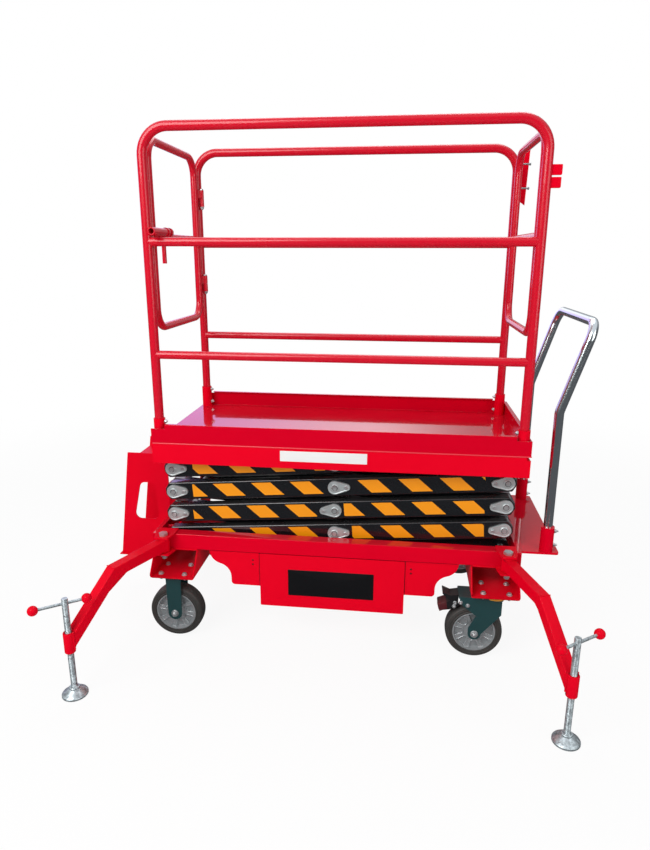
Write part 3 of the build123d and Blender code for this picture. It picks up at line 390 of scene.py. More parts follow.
paint = {name: makeFinish(name, look) for name, look in finishes.items()}
slotFinish = {"red_enamel": "redEnamel", "black_paint": "blackPaint", "keeper_steel": "castGrey",
              "zinc_steel": "zincPlate", "chrome": "darkChrome", "green_paint": "forkGreen", "hub_plastic": "hubGrey",
              "tyre_rubber": "tyreRubber", "dark_plastic": "pedalBlack"}
nodeFinish = {"deck_tray": "redPlatform", "handle_shelf": "redDeck", "chassis_frame": "redDeck",
              "gate_hinges": "redTube", "gate": "redTube", "front_guard": "redTube", "rear_guard": "redTube",
              "end_guard": "redTube"}
edgeWidth = {"outer_arm": 0.005, "inner_arm": 0.005, "outrigger_f": 0.004, "outrigger_r": 0.004,
             "chassis_frame": 0.002, "platform_frame": 0.002, "deck_tray": 0.0012, "caster_beams": 0.0025,
             "swivel_fork": 0.002, "fixed_forks": 0.002}  # metres, by the start of a node's name


# dresses every node of the frame; on the nodes listed in edgeWidth it also joins flat faces and softens edges, so
# that each fold catches the light
def dressNodes():
    for row in frame["record"]["subparts"]:
        name = row["node"]
        node = nodes[name]
        node.data.materials.clear()
        node.data.materials.append(paint[nodeFinish.get(name, slotFinish[row["material_slot"]])])
        width = next((w for start, w in edgeWidth.items() if name.startswith(start)), 0)
        if not width:
            continue
        weld = node.modifiers.new("weld", "WELD")
        weld.merge_threshold = 0.00002
        flat = node.modifiers.new("flat", "DECIMATE")
        flat.decimate_type = "DISSOLVE"
        flat.angle_limit = math.radians(0.5)
        soft = node.modifiers.new("soft", "BEVEL")
        soft.width = width
        soft.segments = 3
        soft.limit_method = "ANGLE"
        soft.angle_limit = math.radians(40)
        soft.use_clamp_overlap = width < 0.004
        soft.loop_slide = False
        soft.harden_normals = True


dressNodes()
print("finishes on the frame's nodes")

armSet = {"length": 1.250, "rise": 0.0915, "left": -0.617073, "base": 0.384, "face": 0.254, "stages": 4}
armLean = math.asin(armSet["rise"] / armSet["length"])
armAlong = np.array([math.cos(armLean), 0, math.sin(armLean)])
armUp = np.array([-math.sin(armLean), 0, math.cos(armLean)])


# a point of an outer arm: s along it from its left pin, t up across it, y sideways
def onArm(stage, s, t, y):
    root = np.array([armSet["left"], 0, armSet["base"] + (stage - 1) * armSet["rise"]])
    s, t, y = np.broadcast_arrays(np.asarray(s, float), np.asarray(t, float), np.asarray(y, float))
    return root + s[..., None] * armAlong + t[..., None] * armUp + y[..., None] * np.array([0, 1, 0])


tape = {"low": -0.024, "high": 0.026, "wide": 0.0745, "pitch": 0.1495, "lift": 0.0004,
        # for each stage: left and right runs as (start, end, first stripe's left edge at mid height)
        "runs": {1: [(0.078, 0.584, 0.0231), (0.692, 1.178, 0.675)],
                 2: [(0.074, 0.556, 0.0131), (0.660, 1.174, 0.639)],
                 3: [(0.076, 0.586, 0.034), (0.692, 1.172, 0.587)],
                 4: [(0.080, 0.586, 0.077), (0.692, 1.164, 0.664)]}}


# stripes lean back by 45 degrees: s = edge - t + wide * u, cut off square at the run's two ends
def tapeStripes(stage, side):
    shapes = []
    t = np.linspace(tape["low"], tape["high"], 41)
    for start, end, first in tape["runs"][stage]:
        count = int((end - first) / tape["pitch"]) + 2
        for k in range(count):
            left = np.clip(first + k * tape["pitch"] - t, start, end)
            right = np.clip(first + k * tape["pitch"] + tape["wide"] - t, start, end)
            keep = right - left > 1e-5
            if keep.sum() < 2:
                continue
            s = np.stack([left[keep], right[keep]], -1)
            up = np.stack([t[keep], t[keep]], -1)
            face = onArm(stage, s, up, side * (armSet["face"] + tape["lift"]))
            back = onArm(stage, s, up, side * (armSet["face"] - 0.0002))
            ring = np.concatenate([face, back[:, ::-1]], 1)  # front and back edges as one closed strip
            ends = np.concatenate([ring[:1, [0, 1, 1, 0]], ring, ring[-1:, [0, 1, 1, 0]]])
            ends[0, 2:] = ring[0, [1, 0]]
            ends[-1, 2:] = ring[-1, [1, 0]]
            shapes.append((ends.reshape(-1, 3), sheetFaces(len(ends), 4, wrapCols=True)))
    return joined(*shapes)


stages = range(1, armSet["stages"] + 1)
for stage in stages:
    both = joined(tapeStripes(stage, -1), tapeStripes(stage, 1))
    makePiece(f"hazardTape_{stage}", both, f"outer_arm_{stage}", "tapeOrange")
print("tape on the arms")

# keeper plates: a cast rim round each face, a stepped cap on every pin with a black ring in its groove as painted
# shade, and a locking screw in the slot
keeperSet = {"big": 0.0258, "small": 0.0128, "length": 0.044, "screwAt": 0.0415, "plate": 0.261, "head": 0.264,
             "rim": [(0.0000, -0.0030), (0.0000, 0.0002), (0.0007, 0.0013), (0.0022, 0.0017), (0.0036, 0.0014),
                     (0.0050, 0.0004), (0.0120, 0.0004)],
             "cap": [(0, 0.0030), (0.0026, 0.0030), (0.0034, 0.0022), (0.0058, 0.0022), (0.0064, 0.0034),
                     (0.0080, 0.0034), (0.0088, 0.0024), (0.0088, -0.0010), (0, -0.0010)],
             "step": [(0.0108, -0.0010), (0.0108, 0.0012), (0.0114, 0.0018), (0.0132, 0.0018), (0.0146, 0.0006),
                      (0.0150, -0.0026), (0.0140, -0.0028)],
             "groove": [(0.0080, 0.0002), (0.0112, 0.0002), (0.0112, 0.0005), (0.0080, 0.0005)],
             "screw": [(0, 0.0036), (0.0022, 0.0036), (0.0027, 0.0056), (0.0054, 0.0056), (0.0066, 0.0044),
                       (0.0066, -0.0012), (0, -0.0012)]}


# outline = the two circles of a tear drop with both radii cut by the inset; height follows the inset along the rim
def keeperFace(look, tail):
    inset, height = np.array(look["rim"]).T
    lean = math.acos((look["big"] - look["small"]) / look["length"])
    a = np.concatenate([np.linspace(lean, 2 * np.pi - lean, 44), np.linspace(-lean, lean, 28)])
    atBig = np.arange(len(a)) < 44
    root = np.where(atBig, 0, look["length"])
    full = np.where(atBig, look["big"], look["small"])
    radius = full[None] - inset[:, None]
    rings = np.stack([root + radius * np.cos(a), radius * np.sin(a), height[:, None] + 0 * a], -1)
    closing = rings[-1] * [1, 0, 1]
    rings = np.concatenate([rings, closing[None]])
    return (rings * [tail, 1, 1]).reshape(-1, 3), sheetFaces(len(rings), len(a), wrapCols=True)


# lays a shape drawn in the arm's own plane on an outer arm's side
def onKeeper(shape, stage, place, side, face):
    verts, faces = shape
    return onArm(stage, place + verts[:, 0], verts[:, 1], side * (face + verts[:, 2])), faces


def keeperFittings(look, stage):
    spots = [(0.5, 1 if stage % 2 else -1)]
    if stage > 1:
        spots.append((0, 1))
    if stage < armSet["stages"]:
        spots.append((1, -1))
    cast, steel, dark = [], [], []
    for side in (-1, 1):
        for spot, tail in spots:
            place = spot * armSet["length"]
            cast.append(onKeeper(keeperFace(look, tail), stage, place, side, look["plate"]))
            cast.append(onKeeper(turned(look["step"], 44, True), stage, place, side, look["head"]))
            steel.append(onKeeper(turned(look["cap"], 44), stage, place, side, look["head"]))
            screwAt = place + tail * look["screwAt"]
            steel.append(onKeeper(turned(look["screw"], 32), stage, screwAt, side, look["plate"]))
            dark.append(onKeeper(turned(look["groove"], 44, True), stage, place, side, look["head"]))
    return joined(*cast), joined(*steel), joined(*dark)


for stage in stages:
    cast, steel, dark = keeperFittings(keeperSet, stage)
    makePiece(f"keeperFaces_{stage}", cast, f"outer_arm_{stage}", "castGrey", 30)
    makePiece(f"pinCaps_{stage}", steel, f"outer_arm_{stage}", "zincPlate", 30)
    # a black ring at the bottom of each pin's groove: painted shade
    makePiece(f"pinGrooveShade_{stage}", dark, f"outer_arm_{stage}", "pedalBlack", 30)
print("keeper plates faced")

# wheels: a moulded hub with eight arched pockets on each face, and a rounded solid tyre
hubSet = {"bore": 0.0085, "edge": 0.078, "pockets": 8, "deep": 0.0050, "lip": 0.0012, "half": 0.0125, "spread": 0.30,
          "near": 0.050, "far": 0.0690, "radii": [0.0085, 0.0225, 0.027, 0.033, 0.066, 0.0705, 0.0730, 0.0765, 0.078],
          "faces": [0.0290, 0.0290, 0.0225, 0.0200, 0.0205, 0.0225, 0.0285, 0.0285, 0.0275]}
tyreSet = [(0.0782, -0.0290), (0.0830, -0.0300), (0.0846, -0.0282), (0.0875, -0.0280), (0.0885, -0.0292),
           (0.0935, -0.0290), (0.0945, -0.0278), (0.0962, -0.0282), (0.0975, -0.0284), (0.1002, -0.0262),
           (0.1022, -0.0225), (0.1032, -0.0170), (0.1036, -0.0118), (0.1026, -0.0108), (0.1037, -0.0098),
           (0.1040, 0.0)]


# face height = dish profile of r, minus a pocket where the arch distance is negative, plus a lip where it is near 0;
# the arch widens outwards along the spoke, is round at its inner end and cut off at its far end
def hubShape(look):
    r = np.linspace(look["bore"], look["edge"], 84)[:, None]
    a = np.linspace(0, 2 * np.pi, 288, endpoint=False)[None]
    turn = (a + np.pi / look["pockets"]) % (2 * np.pi / look["pockets"]) - np.pi / look["pockets"]
    along, across = r * np.cos(turn), np.abs(r * np.sin(turn))
    wide = look["half"] + look["spread"] * np.maximum(along - look["near"], 0)
    arch = np.where(along < look["near"], np.hypot(along - look["near"], across), across) - wide
    arch = np.maximum(arch, along - look["far"])
    sink = np.clip(0.5 - arch / 0.0018, 0, 1)
    sink = sink * sink * (3 - 2 * sink)
    lip = look["lip"] * np.exp(-(((arch - 0.0016) / 0.0011) ** 2)) * (along < look["far"] + 0.001)
    face = np.interp(r, look["radii"], look["faces"]) - look["deep"] * sink + lip
    rows = np.stack([r * np.cos(a), r * np.sin(a), face], -1)
    rows = np.concatenate([rows, rows[::-1] * [1, 1, -1]])  # front face, then the back one
    return rows.reshape(-1, 3), sheetFaces(*rows.shape[:2], wrapRows=True, wrapCols=True)


# the rounded edge of each pocket, a bead coloured lighter than the hub as a painted highlight: out along one flank,
# round the inner end and back along the other
def hubHighlightRibs(look):
    out = np.linspace(look["far"] - 0.001, look["near"], 12)
    flank = np.stack([out, look["half"] + look["spread"] * (out - look["near"])], -1)
    a = np.linspace(np.pi / 2, 3 * np.pi / 2, 22)
    bow = np.stack([look["near"] + look["half"] * np.cos(a), look["half"] * np.sin(a)], -1)
    path = np.concatenate([flank, bow[1:-1], flank[::-1] * [1, -1]])
    height = np.interp(np.hypot(*path.T), look["radii"], look["faces"]) + 0.0003
    verts, faces = swept(np.column_stack([path, height]), ringOutline(0.0013, 10))
    shapes = []
    for k in range(look["pockets"]):
        turn = 2 * np.pi * k / look["pockets"]
        spin = np.array([[math.cos(turn), math.sin(turn), 0], [-math.sin(turn), math.cos(turn), 0], [0, 0, 1]])
        shapes += [(verts @ spin, faces), (verts @ spin * [1, 1, -1], faces)]
    return joined(*shapes)


tyreRing = tyreSet + [(r, -h) for r, h in tyreSet[-2::-1]]
for name, (end, hand) in corners.items():
    spot = [-layout["casterX"] if end < 0 else layout["swivelX"], hand * layout["casterY"], layout["wheelRadius"]]
    spin = np.array([0.2 if end < 0 else 0.05])
    hub = setOut(hubShape(hubSet), spot, (0, -1, 0), spin)
    ribs = setOut(hubHighlightRibs(hubSet), spot, (0, -1, 0), spin)
    # the pocket edge beads take the lighter silver, a painted highlight on the hub's own grey
    makePiece(f"hubHighlightRibs_{name}", ribs, f"wheel_{name}", "hubEdgeHighlight", 60)
    makePiece(f"mouldedHub_{name}", hub, f"wheel_{name}", "hubGrey", 50, (f"wheel_{name}",))
    tyre = setOut(turned(tyreRing, 144, True), spot, (0, -1, 0))
    makePiece(f"solidTyre_{name}", tyre, f"wheel_{name}", "tyreRubber", 40, (f"tyre_{name}",))
print("wheels made")

# screw jacks: a cut thread, a dished foot, a cross bar and two round grips
jackSet = {"foot": [(0, 0), (0.0415, 0), (0.0430, 0.0012), (0.0430, 0.0065), (0.0418, 0.0085), (0.0330, 0.0135),
                    (0.0205, 0.0255), (0.0185, 0.0268), (0.0180, 0.0305), (0.0165, 0.0320), (0.0140, 0.0325),
                    (0.0125, 0.0350), (0, 0.0350)],
           "root": 0.0093, "crest": 0.0105, "pitch": 0.0040, "low": 0.0345, "high": 0.3640, "bar": 0.0050,
           "barHeight": 0.346, "half": 0.0825, "shift": 0.015, "lean": 36, "grip": 0.0168,
           "swing": {-1: 26.9, 1: 19.4}}


# thread radius = root + (crest - root) * triangle wave of (z / pitch - a / full turn)
def threadShape(look):
    z = np.linspace(look["low"], look["high"], int((look["high"] - look["low"]) / look["pitch"] * 8))[:, None]
    a = np.linspace(0, 2 * np.pi, 28, endpoint=False)[None]
    wave = 1 - np.abs(((z / look["pitch"] - a / (2 * np.pi)) % 1) * 2 - 1)
    radius = look["root"] + (look["crest"] - look["root"]) * np.minimum(wave * 1.6, 1)
    radius[0] = radius[-1] = 0
    verts = np.stack([radius * np.cos(a), radius * np.sin(a), z + 0 * a], -1)
    return verts.reshape(-1, 3), sheetFaces(*radius.shape, wrapCols=True)


# where a jack stands, and the outward direction of its arm
def jackPlace(end, hand):
    swing = math.radians(jackSet["swing"][end])
    out = np.array([end * math.sin(swing), hand * math.cos(swing), 0])
    root = np.array([end * layout["jackX"], hand * layout["jackY"], 0])
    return root, out, root + out * layout["jackReach"]


t = np.linspace(0, np.pi, 20)
gripRing = np.stack([jackSet["grip"] * np.sin(t), -jackSet["grip"] * np.cos(t)], -1)
gripRing[[0, -1], 0] = 0
for name, (end, hand) in corners.items():
    root, out, foot = jackPlace(end, hand)
    lean = math.radians(jackSet["lean"])
    bar = np.array([math.cos(lean), -hand * math.sin(lean), 0])
    middle = foot + bar * end * jackSet["shift"] + [0, 0, jackSet["barHeight"]]
    ends = np.stack([middle - bar * jackSet["half"], middle + bar * jackSet["half"]])
    rod = swept(ends[0] + (ends[1] - ends[0]) * np.linspace(0, 1, 6)[:, None], ringOutline(jackSet["bar"], 20))
    dish, thread = turned(jackSet["foot"], 72), threadShape(jackSet)
    steel = joined(setOut(dish, foot, (0, 0, 1)), setOut(thread, foot, (0, 0, 1)), rod)
    makePiece(f"screwJack_{name}", steel, f"jack_{name}", "galvanised", 30, (f"jack_{name}",))
    grips = setOut(turned(gripRing, 36), ends, bar)
    makePiece(f"barGrips_{name}", grips, f"jack_{name}", "redEnamel")
print("jacks made")

# caster bolts: heads on the beams' floors, nuts under the top plates, and axle nuts
casterSet = {"gapX": 0.046, "gapY": 0.038, "head": 0.015, "tall": 0.006, "end": 0.004, "legFace": 0.360,
             "axle": 0.0195, "axleTall": 0.0080, "axleEnd": 0.003}


def casterBolts(look):
    grid = np.array([(sx * look["gapX"], sy * look["gapY"]) for sx in (-1, 1) for sy in (-1, 1)])
    spots = np.concatenate([grid + [end * layout["casterX"], hand * layout["casterY"]]
                            for end, hand in corners.values()])
    heads = np.column_stack([spots, np.full(len(spots), layout["beamFloor"])])
    nuts = np.column_stack([spots, np.full(len(spots), layout["mountFloor"])])
    turns = np.arange(len(spots)) * 0.37
    return joined(setOut(boltEnd(look["head"], look["tall"]), heads, (0, 0, 1), turns),
                  setOut(boltEnd(look["head"], look["tall"], look["end"]), nuts, (0, 0, -1), turns))


# hexagon nut with a rounded end on each side of a wheel's fork
def axleNuts(x, hand):
    nut = boltEnd(casterSet["axle"], casterSet["axleTall"], casterSet["axleEnd"])
    legHalf = casterSet["legFace"] - layout["casterY"]
    spots = [(x, hand * layout["casterY"] + side * legHalf, layout["wheelRadius"]) for side in (-1, 1)]
    return setOut(nut, spots, [(0, -1, 0), (0, 1, 0)], np.array([0.25, 0.6]))


makePiece("casterBolts", casterBolts(casterSet), "chassis", "zincPlate")
fixedNuts = joined(*[axleNuts(-layout["casterX"], hand) for hand in (-1, 1)])
makePiece("fixedAxleNuts", fixedNuts, "chassis", "zincPlate")

# swivel casters: a dust ring, a ribbed dark red pad on the lower lever, and the pivot bolts on the fork's wall
swivelSet = {"pad": [(0.3985, 0.2070), (0.4055, 0.1800), (0.4340, 0.1930), (0.4290, 0.2205)], "half": 0.0272,
             "ribs": 4, "ribTop": 0.2030, "ribStep": 0.0058, "ribHalf": 0.022, "ribRound": 0.0013,
             "ribFoot": (0.3995, 0.207), "ribLean": 0.26, "ribOut": 0.0014,
             "bolts": [(0.4790, 0.2290), (0.5050, 0.2190)], "pins": [(0.4575, 0.2035), (0.4610, 0.2180)],
             "pinFace": 0.026, "head": 0.0105, "tall": 0.004, "end": 0.002, "ringLevel": 0.2515,
             "ring": [(0.0436, -0.0050), (0.0480, -0.0042), (0.0492, 0), (0.0480, 0.0042), (0.0436, 0.0050)]}


def brakePad(look, y):
    shapes = [plateAlongY(look["pad"], y - look["half"], y + look["half"], 0.0015)]
    for z in look["ribTop"] - np.arange(look["ribs"]) * look["ribStep"]:
        x = look["ribFoot"][0] + (look["ribFoot"][1] - z) * look["ribLean"]
        verts, faces = weldBead((x, y - look["ribHalf"], z), (x, y + look["ribHalf"], z), look["ribRound"], 0.04)
        shapes.append((verts - [look["ribOut"], 0, 0], faces))
    return joined(*shapes)


def forkBolts(look, y):
    legHalf = casterSet["legFace"] - layout["casterY"]
    spots = [(x, y + side * legHalf, z) for x, z in look["bolts"] for side in (-1, 1)]
    spots += [(x, y + side * look["pinFace"], z) for x, z in look["pins"] for side in (-1, 1)]
    ways = [(0, side, 0) for k in range(4) for side in (-1, 1)]
    return setOut(boltEnd(look["head"], look["tall"], look["end"]), spots, ways, np.arange(8) * 0.4)


for name, hand in (("front_right", -1), ("rear_right", 1)):
    body, y = f"swivel_{name}", hand * layout["casterY"]
    ring = setOut(turned(swivelSet["ring"], 64, True), (layout["casterX"], y, swivelSet["ringLevel"]), (0, 0, 1))
    makePiece(f"dustRing_{name}", ring, body, "dustYellow")
    makePiece(f"brakePad_{name}", brakePad(swivelSet, y), body, "padRed")
    steel = joined(forkBolts(swivelSet, y), axleNuts(layout["swivelX"], hand))
    makePiece(f"forkBolts_{name}", steel, body, "zincPlate")
print("caster fittings made")

# chassis welds, seams darkened as painted shade, skirt screws, the blank plate on the cover and the blank strip on
# the platform; a plate is (x, z, half width, half height, corner)
plateSet = {"cover": (-0.0025, 0.241, 0.1625, 0.0535, 0.0025), "strip": (-0.030, 0.748, 0.157, 0.0195, 0.002),
            "coverFace": -0.312, "stripFace": -0.318, "skirtFace": 0.309, "seamFace": 0.3095, "beamHalf": 0.080,
            "lugHalf": 0.034, "boxX": -0.6885, "boxY": 0.1195, "boxLow": 0.362, "boxHigh": 0.414,
            "screws": [(x, z) for x in (-0.301, 0.297) for z in (0.324, 0.307)],
            "screw": [(0, 0.0002), (0.0018, 0.0002), (0.0022, 0.0009), (0.0029, 0.0009), (0.0034, 0.0004),
                      (0.0034, -0.0010), (0, -0.0010)],
            "seam": 0.0016, "seams": [((-0.2748, 0.218), (-0.2748, 0.3545)), ((0.2748, 0.218), (0.2748, 0.3545)),
                                      ((-0.466, 0.3562), (0.466, 0.3562))]}


def chassisWelds(look):
    runs = []
    for end, hand in corners.values():
        x, y, z = end * layout["beamX"], hand * (layout["side"] + 0.0008), layout["railBase"] - 0.001
        runs.append(weldBead((x - look["beamHalf"], y, z), (x + look["beamHalf"], y, z)))
        x = end * layout["jackX"]
        for z in (layout["railTop"], layout["railBase"]):
            runs.append(weldBead((x - look["lugHalf"], y, z), (x + look["lugHalf"], y, z), 0.0026))
        x, y = look["boxX"], hand * look["boxY"]
        runs.append(weldBead((x, y, look["boxLow"]), (x, y, look["boxHigh"]), 0.003))
    return joined(*runs)


def blankPlate(look, y, thick):
    x, z, halfX, halfZ, corner = look
    return plateAlongY(roundedRectangle(halfX, halfZ, corner) + [x, z], y - thick, y + 0.0003, 0.0006)


# thin beads along the seams where each cover meets its skirt, and where the skirts meet the frame, near-black as
# painted shade in the seam corners
def coverSeamShade(look):
    t = np.linspace(0, 1, 40)[:, None]
    runs = []
    for side in (-1, 1):
        for (x1, z1), (x2, z2) in look["seams"]:
            start, end = np.array([[x1, side * look["seamFace"], z1], [x2, side * look["seamFace"], z2]])
            runs.append(swept(start + (end - start) * t, ringOutline(look["seam"], 10)))
    return joined(*runs)


# the seam beads are painted shade, not a part of their own
makePiece("coverSeamShade", coverSeamShade(plateSet), "chassis", "seamShadow", 60)
makePiece("chassisWelds", chassisWelds(plateSet), "chassis", "redEnamel", 60)
coverPlate = blankPlate(plateSet["cover"], plateSet["coverFace"], 0.0012)
makePiece("coverPlate", coverPlate, "chassis", "plateBlack")
frameStrip = blankPlate(plateSet["strip"], plateSet["stripFace"], 0.0006)
makePiece("frameStrip", frameStrip, "platform", "stripWhite")
screwSpots = [(x, side * plateSet["skirtFace"], z) for x, z in plateSet["screws"] for side in (-1, 1)]
screwWays = [(0, side, 0) for spot in plateSet["screws"] for side in (-1, 1)]
screws = setOut(turned(plateSet["screw"], 28), screwSpots, screwWays)
makePiece("skirtScrews", screws, "chassis", "plateBlack")

# outrigger welds: beads down both sides of the sleeve, and a mitre bead over the knee
outriggerSet = {"cut": 0.006, "chord": 0.0175, "low": 0.178, "high": 0.240, "knee": 0.2445, "kneeTop": 0.3972,
                "half": 0.019}
for name, (end, hand) in corners.items():
    root, out, foot = jackPlace(end, hand)
    across = np.array([-out[1], out[0], 0])
    runs = []
    for side in (-1, 1):
        line = foot - out * outriggerSet["cut"] + across * side * outriggerSet["chord"]
        runs.append(weldBead(line + [0, 0, outriggerSet["low"]], line + [0, 0, outriggerSet["high"]], 0.0036))
    knee = root + out * outriggerSet["knee"] + np.array([0, 0, outriggerSet["kneeTop"]])
    runs.append(weldBead(knee - across * outriggerSet["half"], knee + across * outriggerSet["half"], 0.0016))
    makePiece(f"armWelds_{name}", joined(*runs), f"outrigger_{name}", "redEnamel", 60)
print("welds and plates made")

# platform: the fold line at deck level, coloured a lighter pink-red as a painted highlight, clamp bolts on the post
# sockets, hinge nuts, and the end guard's fittings
platformSet = {"seam": 0.0021, "seamLevel": 0.7785, "clampLevels": (0.799, 0.856), "socket": 0.0205,
               "hinge": (-0.616073, 0.2675), "hingeLevels": (1.673, 1.326), "hingeLow": 0.0322, "hingeHigh": 0.0332,
               "nut": 0.0130, "barBolts": (1.704, 1.794), "barBoltX": 0.6700, "barNear": 0.288, "barFar": 0.292,
               "tabNear": -0.298, "tabFar": -0.286, "tabCorner": 0.003,
               "bar": [(0.6805, 1.655), (0.7030, 1.640), (0.7100, 1.860), (0.6900, 1.866)],
               "tabs": [((0.6930, 1.7045), (0.0170, 0.0155)), ((0.6920, 1.6670), (0.0170, 0.0160))],
               "stud": [(0, 0), (0.0035, 0), (0.0035, 0.040), (0.0060, 0.040), (0.0060, 0.045), (0.0035, 0.046),
                        (0, 0.046)]}


def deckFold(look):
    left, right = layout["platformX"] - layout["platformEnd"] + 0.004, layout["platformX"] + layout["platformEnd"]
    side, z = layout["platformSide"], look["seamLevel"]
    t = np.linspace(0, 1, 24)[:, None]
    legs = np.array([(left, -side, z), (right, -side, z), (right, side, z), (left, side, z)])
    outline = ringOutline(look["seam"], 10)
    return joined(*[swept(a + (b - a) * t, outline) for a, b in zip(legs[:-1], legs[1:])])


def clampBolts(look):
    spots, ways = [], []
    for end, hand in corners.values():
        x = layout["platformX"] + end * layout["postX"]
        for level in look["clampLevels"]:
            spots.append((x - end * look["socket"], hand * layout["postY"], level))
            ways.append((-end, 0, 0))
    return setOut(boltEnd(0.012, 0.005, 0.004), spots, ways, np.arange(len(spots)) * 0.5)


def hingeNuts(look):
    x, y = look["hinge"]
    low = [(x, y, level - look["hingeLow"]) for level in look["hingeLevels"]]
    high = [(x, y, level + look["hingeHigh"]) for level in look["hingeLevels"]]
    return joined(setOut(boltEnd(look["nut"], 0.0070, 0.004), low, (0, 0, -1)),
                  setOut(hexHead(look["nut"], 0.0050), high, (0, 0, 1)))


def guardFittings(look):
    shapes = [plateAlongY(look["bar"], look["barNear"], look["barFar"], 0.0008)]
    for (x, z), (halfX, halfZ) in look["tabs"]:
        outline = roundedRectangle(halfX, halfZ, look["tabCorner"]) + [x, z]
        shapes.append(plateAlongY(outline, look["tabNear"], look["tabFar"], 0.0012))
    return joined(*shapes)


# the fold bead wears the lighter red, a painted highlight along the deck's edge
makePiece("deckFold", deckFold(platformSet), "platform", "foldHighlightRed", 60)
barSpots = [(platformSet["barBoltX"], platformSet["barNear"], z) for z in platformSet["barBolts"]]
barBolts = setOut(turned(platformSet["stud"], 24), barSpots, (1, 0, 0))
platformBolts = joined(clampBolts(platformSet), hingeNuts(platformSet), barBolts)
makePiece("platformBolts", platformBolts, "platform", "zincPlate")
makePiece("guardFittings", guardFittings(platformSet), "platform", "redEnamel")

# handle holders: two clamp bolts through each
holderSet = {"face": 0.8056, "y": 0.260, "levels": (0.431, 0.485), "head": 0.012, "tall": 0.006, "end": 0.007}
holderSpots = [(holderSet["face"], hand * holderSet["y"], z) for hand in (-1, 1) for z in holderSet["levels"]]
holderBolt = boltEnd(holderSet["head"], holderSet["tall"], holderSet["end"])
holderBolts = setOut(holderBolt, holderSpots, (1, 0, 0), np.arange(4) * 0.3)
makePiece("holderBolts", holderBolts, "chassis", "zincPlate")
print("platform and handle fittings made")

# floor and light; a lamp is (place, target, size, power)
studio = {"floor": 0.86, "reach": 30.0, "floorLevel": -0.0006, "fadeStart": 1.9, "fadeEnd": 4.2, "near": 0.92,
          "floorMirrored": (0.10, 0.10, 0.11), "ambient": 0.30, "ambientColour": (0.97, 0.985, 1.0),
          "sky": (0.93, 0.94, 1.0), "leftSky": (0.58, 0.42, 1.0), "skyStrength": 1.45, "front": 0.12,
          "rightDim": 0.78, "overhead": 0.55,
          "lamps": {"keyLamp": ((-2.2, -3.4, 3.4), (0, 0, 0.8), (3.0, 3.0), 165),
                    "fillLamp": ((3.2, -2.8, 2.0), (0, 0, 0.7), (2.6, 2.6), 45),
                    "topLamp": ((0.2, 1.6, 4.4), (0, 0, 0.8), (3.4, 2.4), 70)}}


def softStep(tree, value, low, high, start=0.0):
    step = tree.nodes.new("ShaderNodeMapRange")
    step.interpolation_type = "SMOOTHSTEP"
    for label, number in (("From Min", low), ("From Max", high), ("To Min", start)):
        step.inputs[label].default_value = number
    tree.links.new(value, step.inputs["Value"])
    return step.outputs["Result"]


def plainShader(tree, kind, colour):
    shader = tree.nodes.new(kind)
    shader.inputs["Color"].default_value = (*colour, 1)
    return shader


def mixShaders(tree, factor, first, second):
    mix = tree.nodes.new("ShaderNodeMixShader")
    for place, link in enumerate((factor, first, second)):
        tree.links.new(link, mix.inputs[place])
    return mix.outputs[0]


# near the machine the floor keeps the shadow, farther out it fades to white, and it is clear from underneath
def makeFloor(look):
    u = np.linspace(-look["reach"], look["reach"], 3)
    x, y = np.meshgrid(u, u)
    verts = np.stack([x, y, 0 * x + look["floorLevel"]], -1).reshape(-1, 3)
    mesh = bpy.data.meshes.new("floor")
    mesh.from_pydata(verts.tolist(), [], sheetFaces(3, 3).tolist())
    floor = bpy.data.objects.new("floor", mesh)
    scene.collection.objects.link(floor)
    material = bpy.data.materials.new("paleFloor")
    material.use_nodes = True
    tree = material.node_tree
    tree.nodes.clear()
    out = tree.nodes.new("ShaderNodeOutputMaterial")
    matt = plainShader(tree, "ShaderNodeBsdfDiffuse", (look["floor"],) * 3).outputs[0]
    white = plainShader(tree, "ShaderNodeEmission", (1, 1, 1)).outputs[0]
    dim = plainShader(tree, "ShaderNodeEmission", look["floorMirrored"]).outputs[0]
    length = tree.nodes.new("ShaderNodeVectorMath")
    length.operation = "LENGTH"
    tree.links.new(tree.nodes.new("ShaderNodeTexCoord").outputs["Object"], length.inputs[0])
    fade = softStep(tree, length.outputs["Value"], look["fadeStart"], look["fadeEnd"], look["near"])
    path = tree.nodes.new("ShaderNodeLightPath").outputs
    seen = mixShaders(tree, mathNode(tree, "MULTIPLY", path["Is Camera Ray"], fade), matt, white)
    mirrored = mixShaders(tree, path["Is Glossy Ray"], seen, dim)
    under = tree.nodes.new("ShaderNodeNewGeometry").outputs["Backfacing"]
    clear = tree.nodes.new("ShaderNodeBsdfTransparent").outputs[0]
    tree.links.new(mixShaders(tree, under, mirrored, clear), out.inputs["Surface"])
    mesh.materials.append(material)


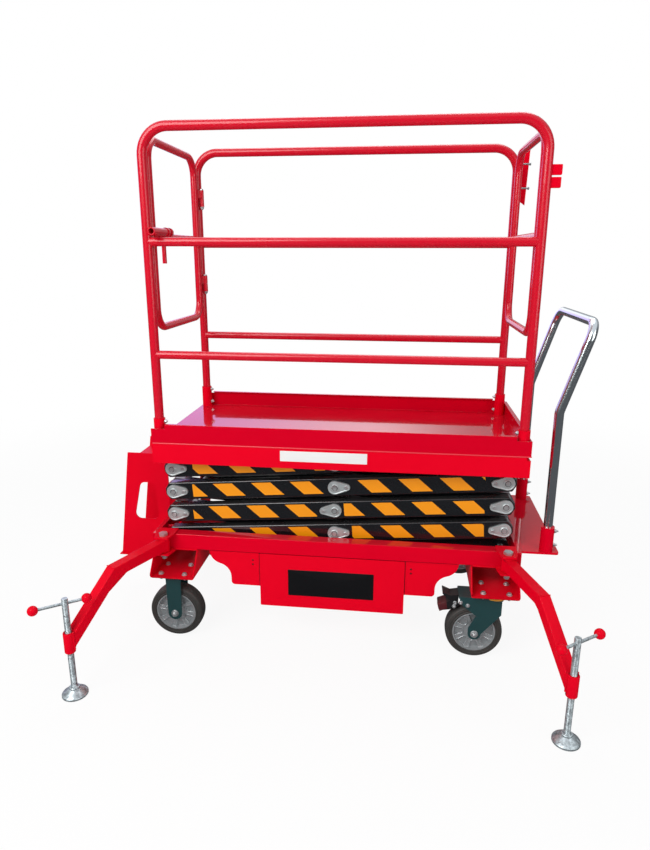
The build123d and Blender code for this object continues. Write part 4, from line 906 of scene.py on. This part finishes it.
# the sky mirrored by glossy faces: pale behind and above the machine, dark on the camera's side
def makeWorld(look):
    world = bpy.data.worlds.new("softSky")
    scene.world = world
    world.use_nodes = True
    tree = world.node_tree
    tree.nodes.clear()
    out = tree.nodes.new("ShaderNodeOutputWorld")
    path = tree.nodes.new("ShaderNodeLightPath").outputs
    soft = plainShader(tree, "ShaderNodeBackground", look["ambientColour"])
    soft.inputs["Strength"].default_value = look["ambient"]
    white = plainShader(tree, "ShaderNodeBackground", (1, 1, 1))
    mirrored = tree.nodes.new("ShaderNodeBackground")
    way = splitVector(tree, tree.nodes.new("ShaderNodeTexCoord").outputs["Generated"])
    behind = softStep(tree, way["Y"], 0.1, 0.8)
    above = softStep(tree, way["Z"], 0.30, 0.75)
    toRight = softStep(tree, way["X"], -0.06, 0.14)
    shaded = mathNode(tree, "MULTIPLY_ADD", toRight, -look["rightDim"], 1.0)
    glow = mathNode(tree, "MAXIMUM", mathNode(tree, "MULTIPLY", behind, shaded),
                    mathNode(tree, "MULTIPLY", above, look["overhead"]))
    strength = mathNode(tree, "MULTIPLY_ADD", glow, look["skyStrength"] - look["front"], look["front"])
    toLeft = mathNode(tree, "SUBTRACT", 1.0, softStep(tree, way["X"], -0.42, 0.02))
    low = mathNode(tree, "SUBTRACT", 1.0, softStep(tree, way["Z"], 0.26, 0.42))
    tinted = mathNode(tree, "MULTIPLY", mathNode(tree, "MULTIPLY", toLeft, low), behind)
    sky = mixColours(tree, tinted, (*look["sky"], 1), (*look["leftSky"], 1))
    tree.links.new(sky, mirrored.inputs["Color"])
    tree.links.new(strength, mirrored.inputs["Strength"])
    lit = mixShaders(tree, path["Is Glossy Ray"], soft.outputs[0], mirrored.outputs[0])
    tree.links.new(mixShaders(tree, path["Is Camera Ray"], lit, white.outputs[0]), out.inputs["Surface"])


def makeLamp(name, place, target, size, power):
    data = bpy.data.lights.new(name, "AREA")
    data.shape = "RECTANGLE"
    data.size, data.size_y = size
    data.energy = power
    lamp = bpy.data.objects.new(name, data)
    scene.collection.objects.link(lamp)
    way = Vector(target) - Vector(place)
    lamp.matrix_world = Matrix.Translation(place) @ way.to_track_quat("-Z", "Y").to_matrix().to_4x4()


makeFloor(studio)
makeWorld(studio)
for name, lampSet in studio["lamps"].items():
    makeLamp(name, *lampSet)
print("stage ready")
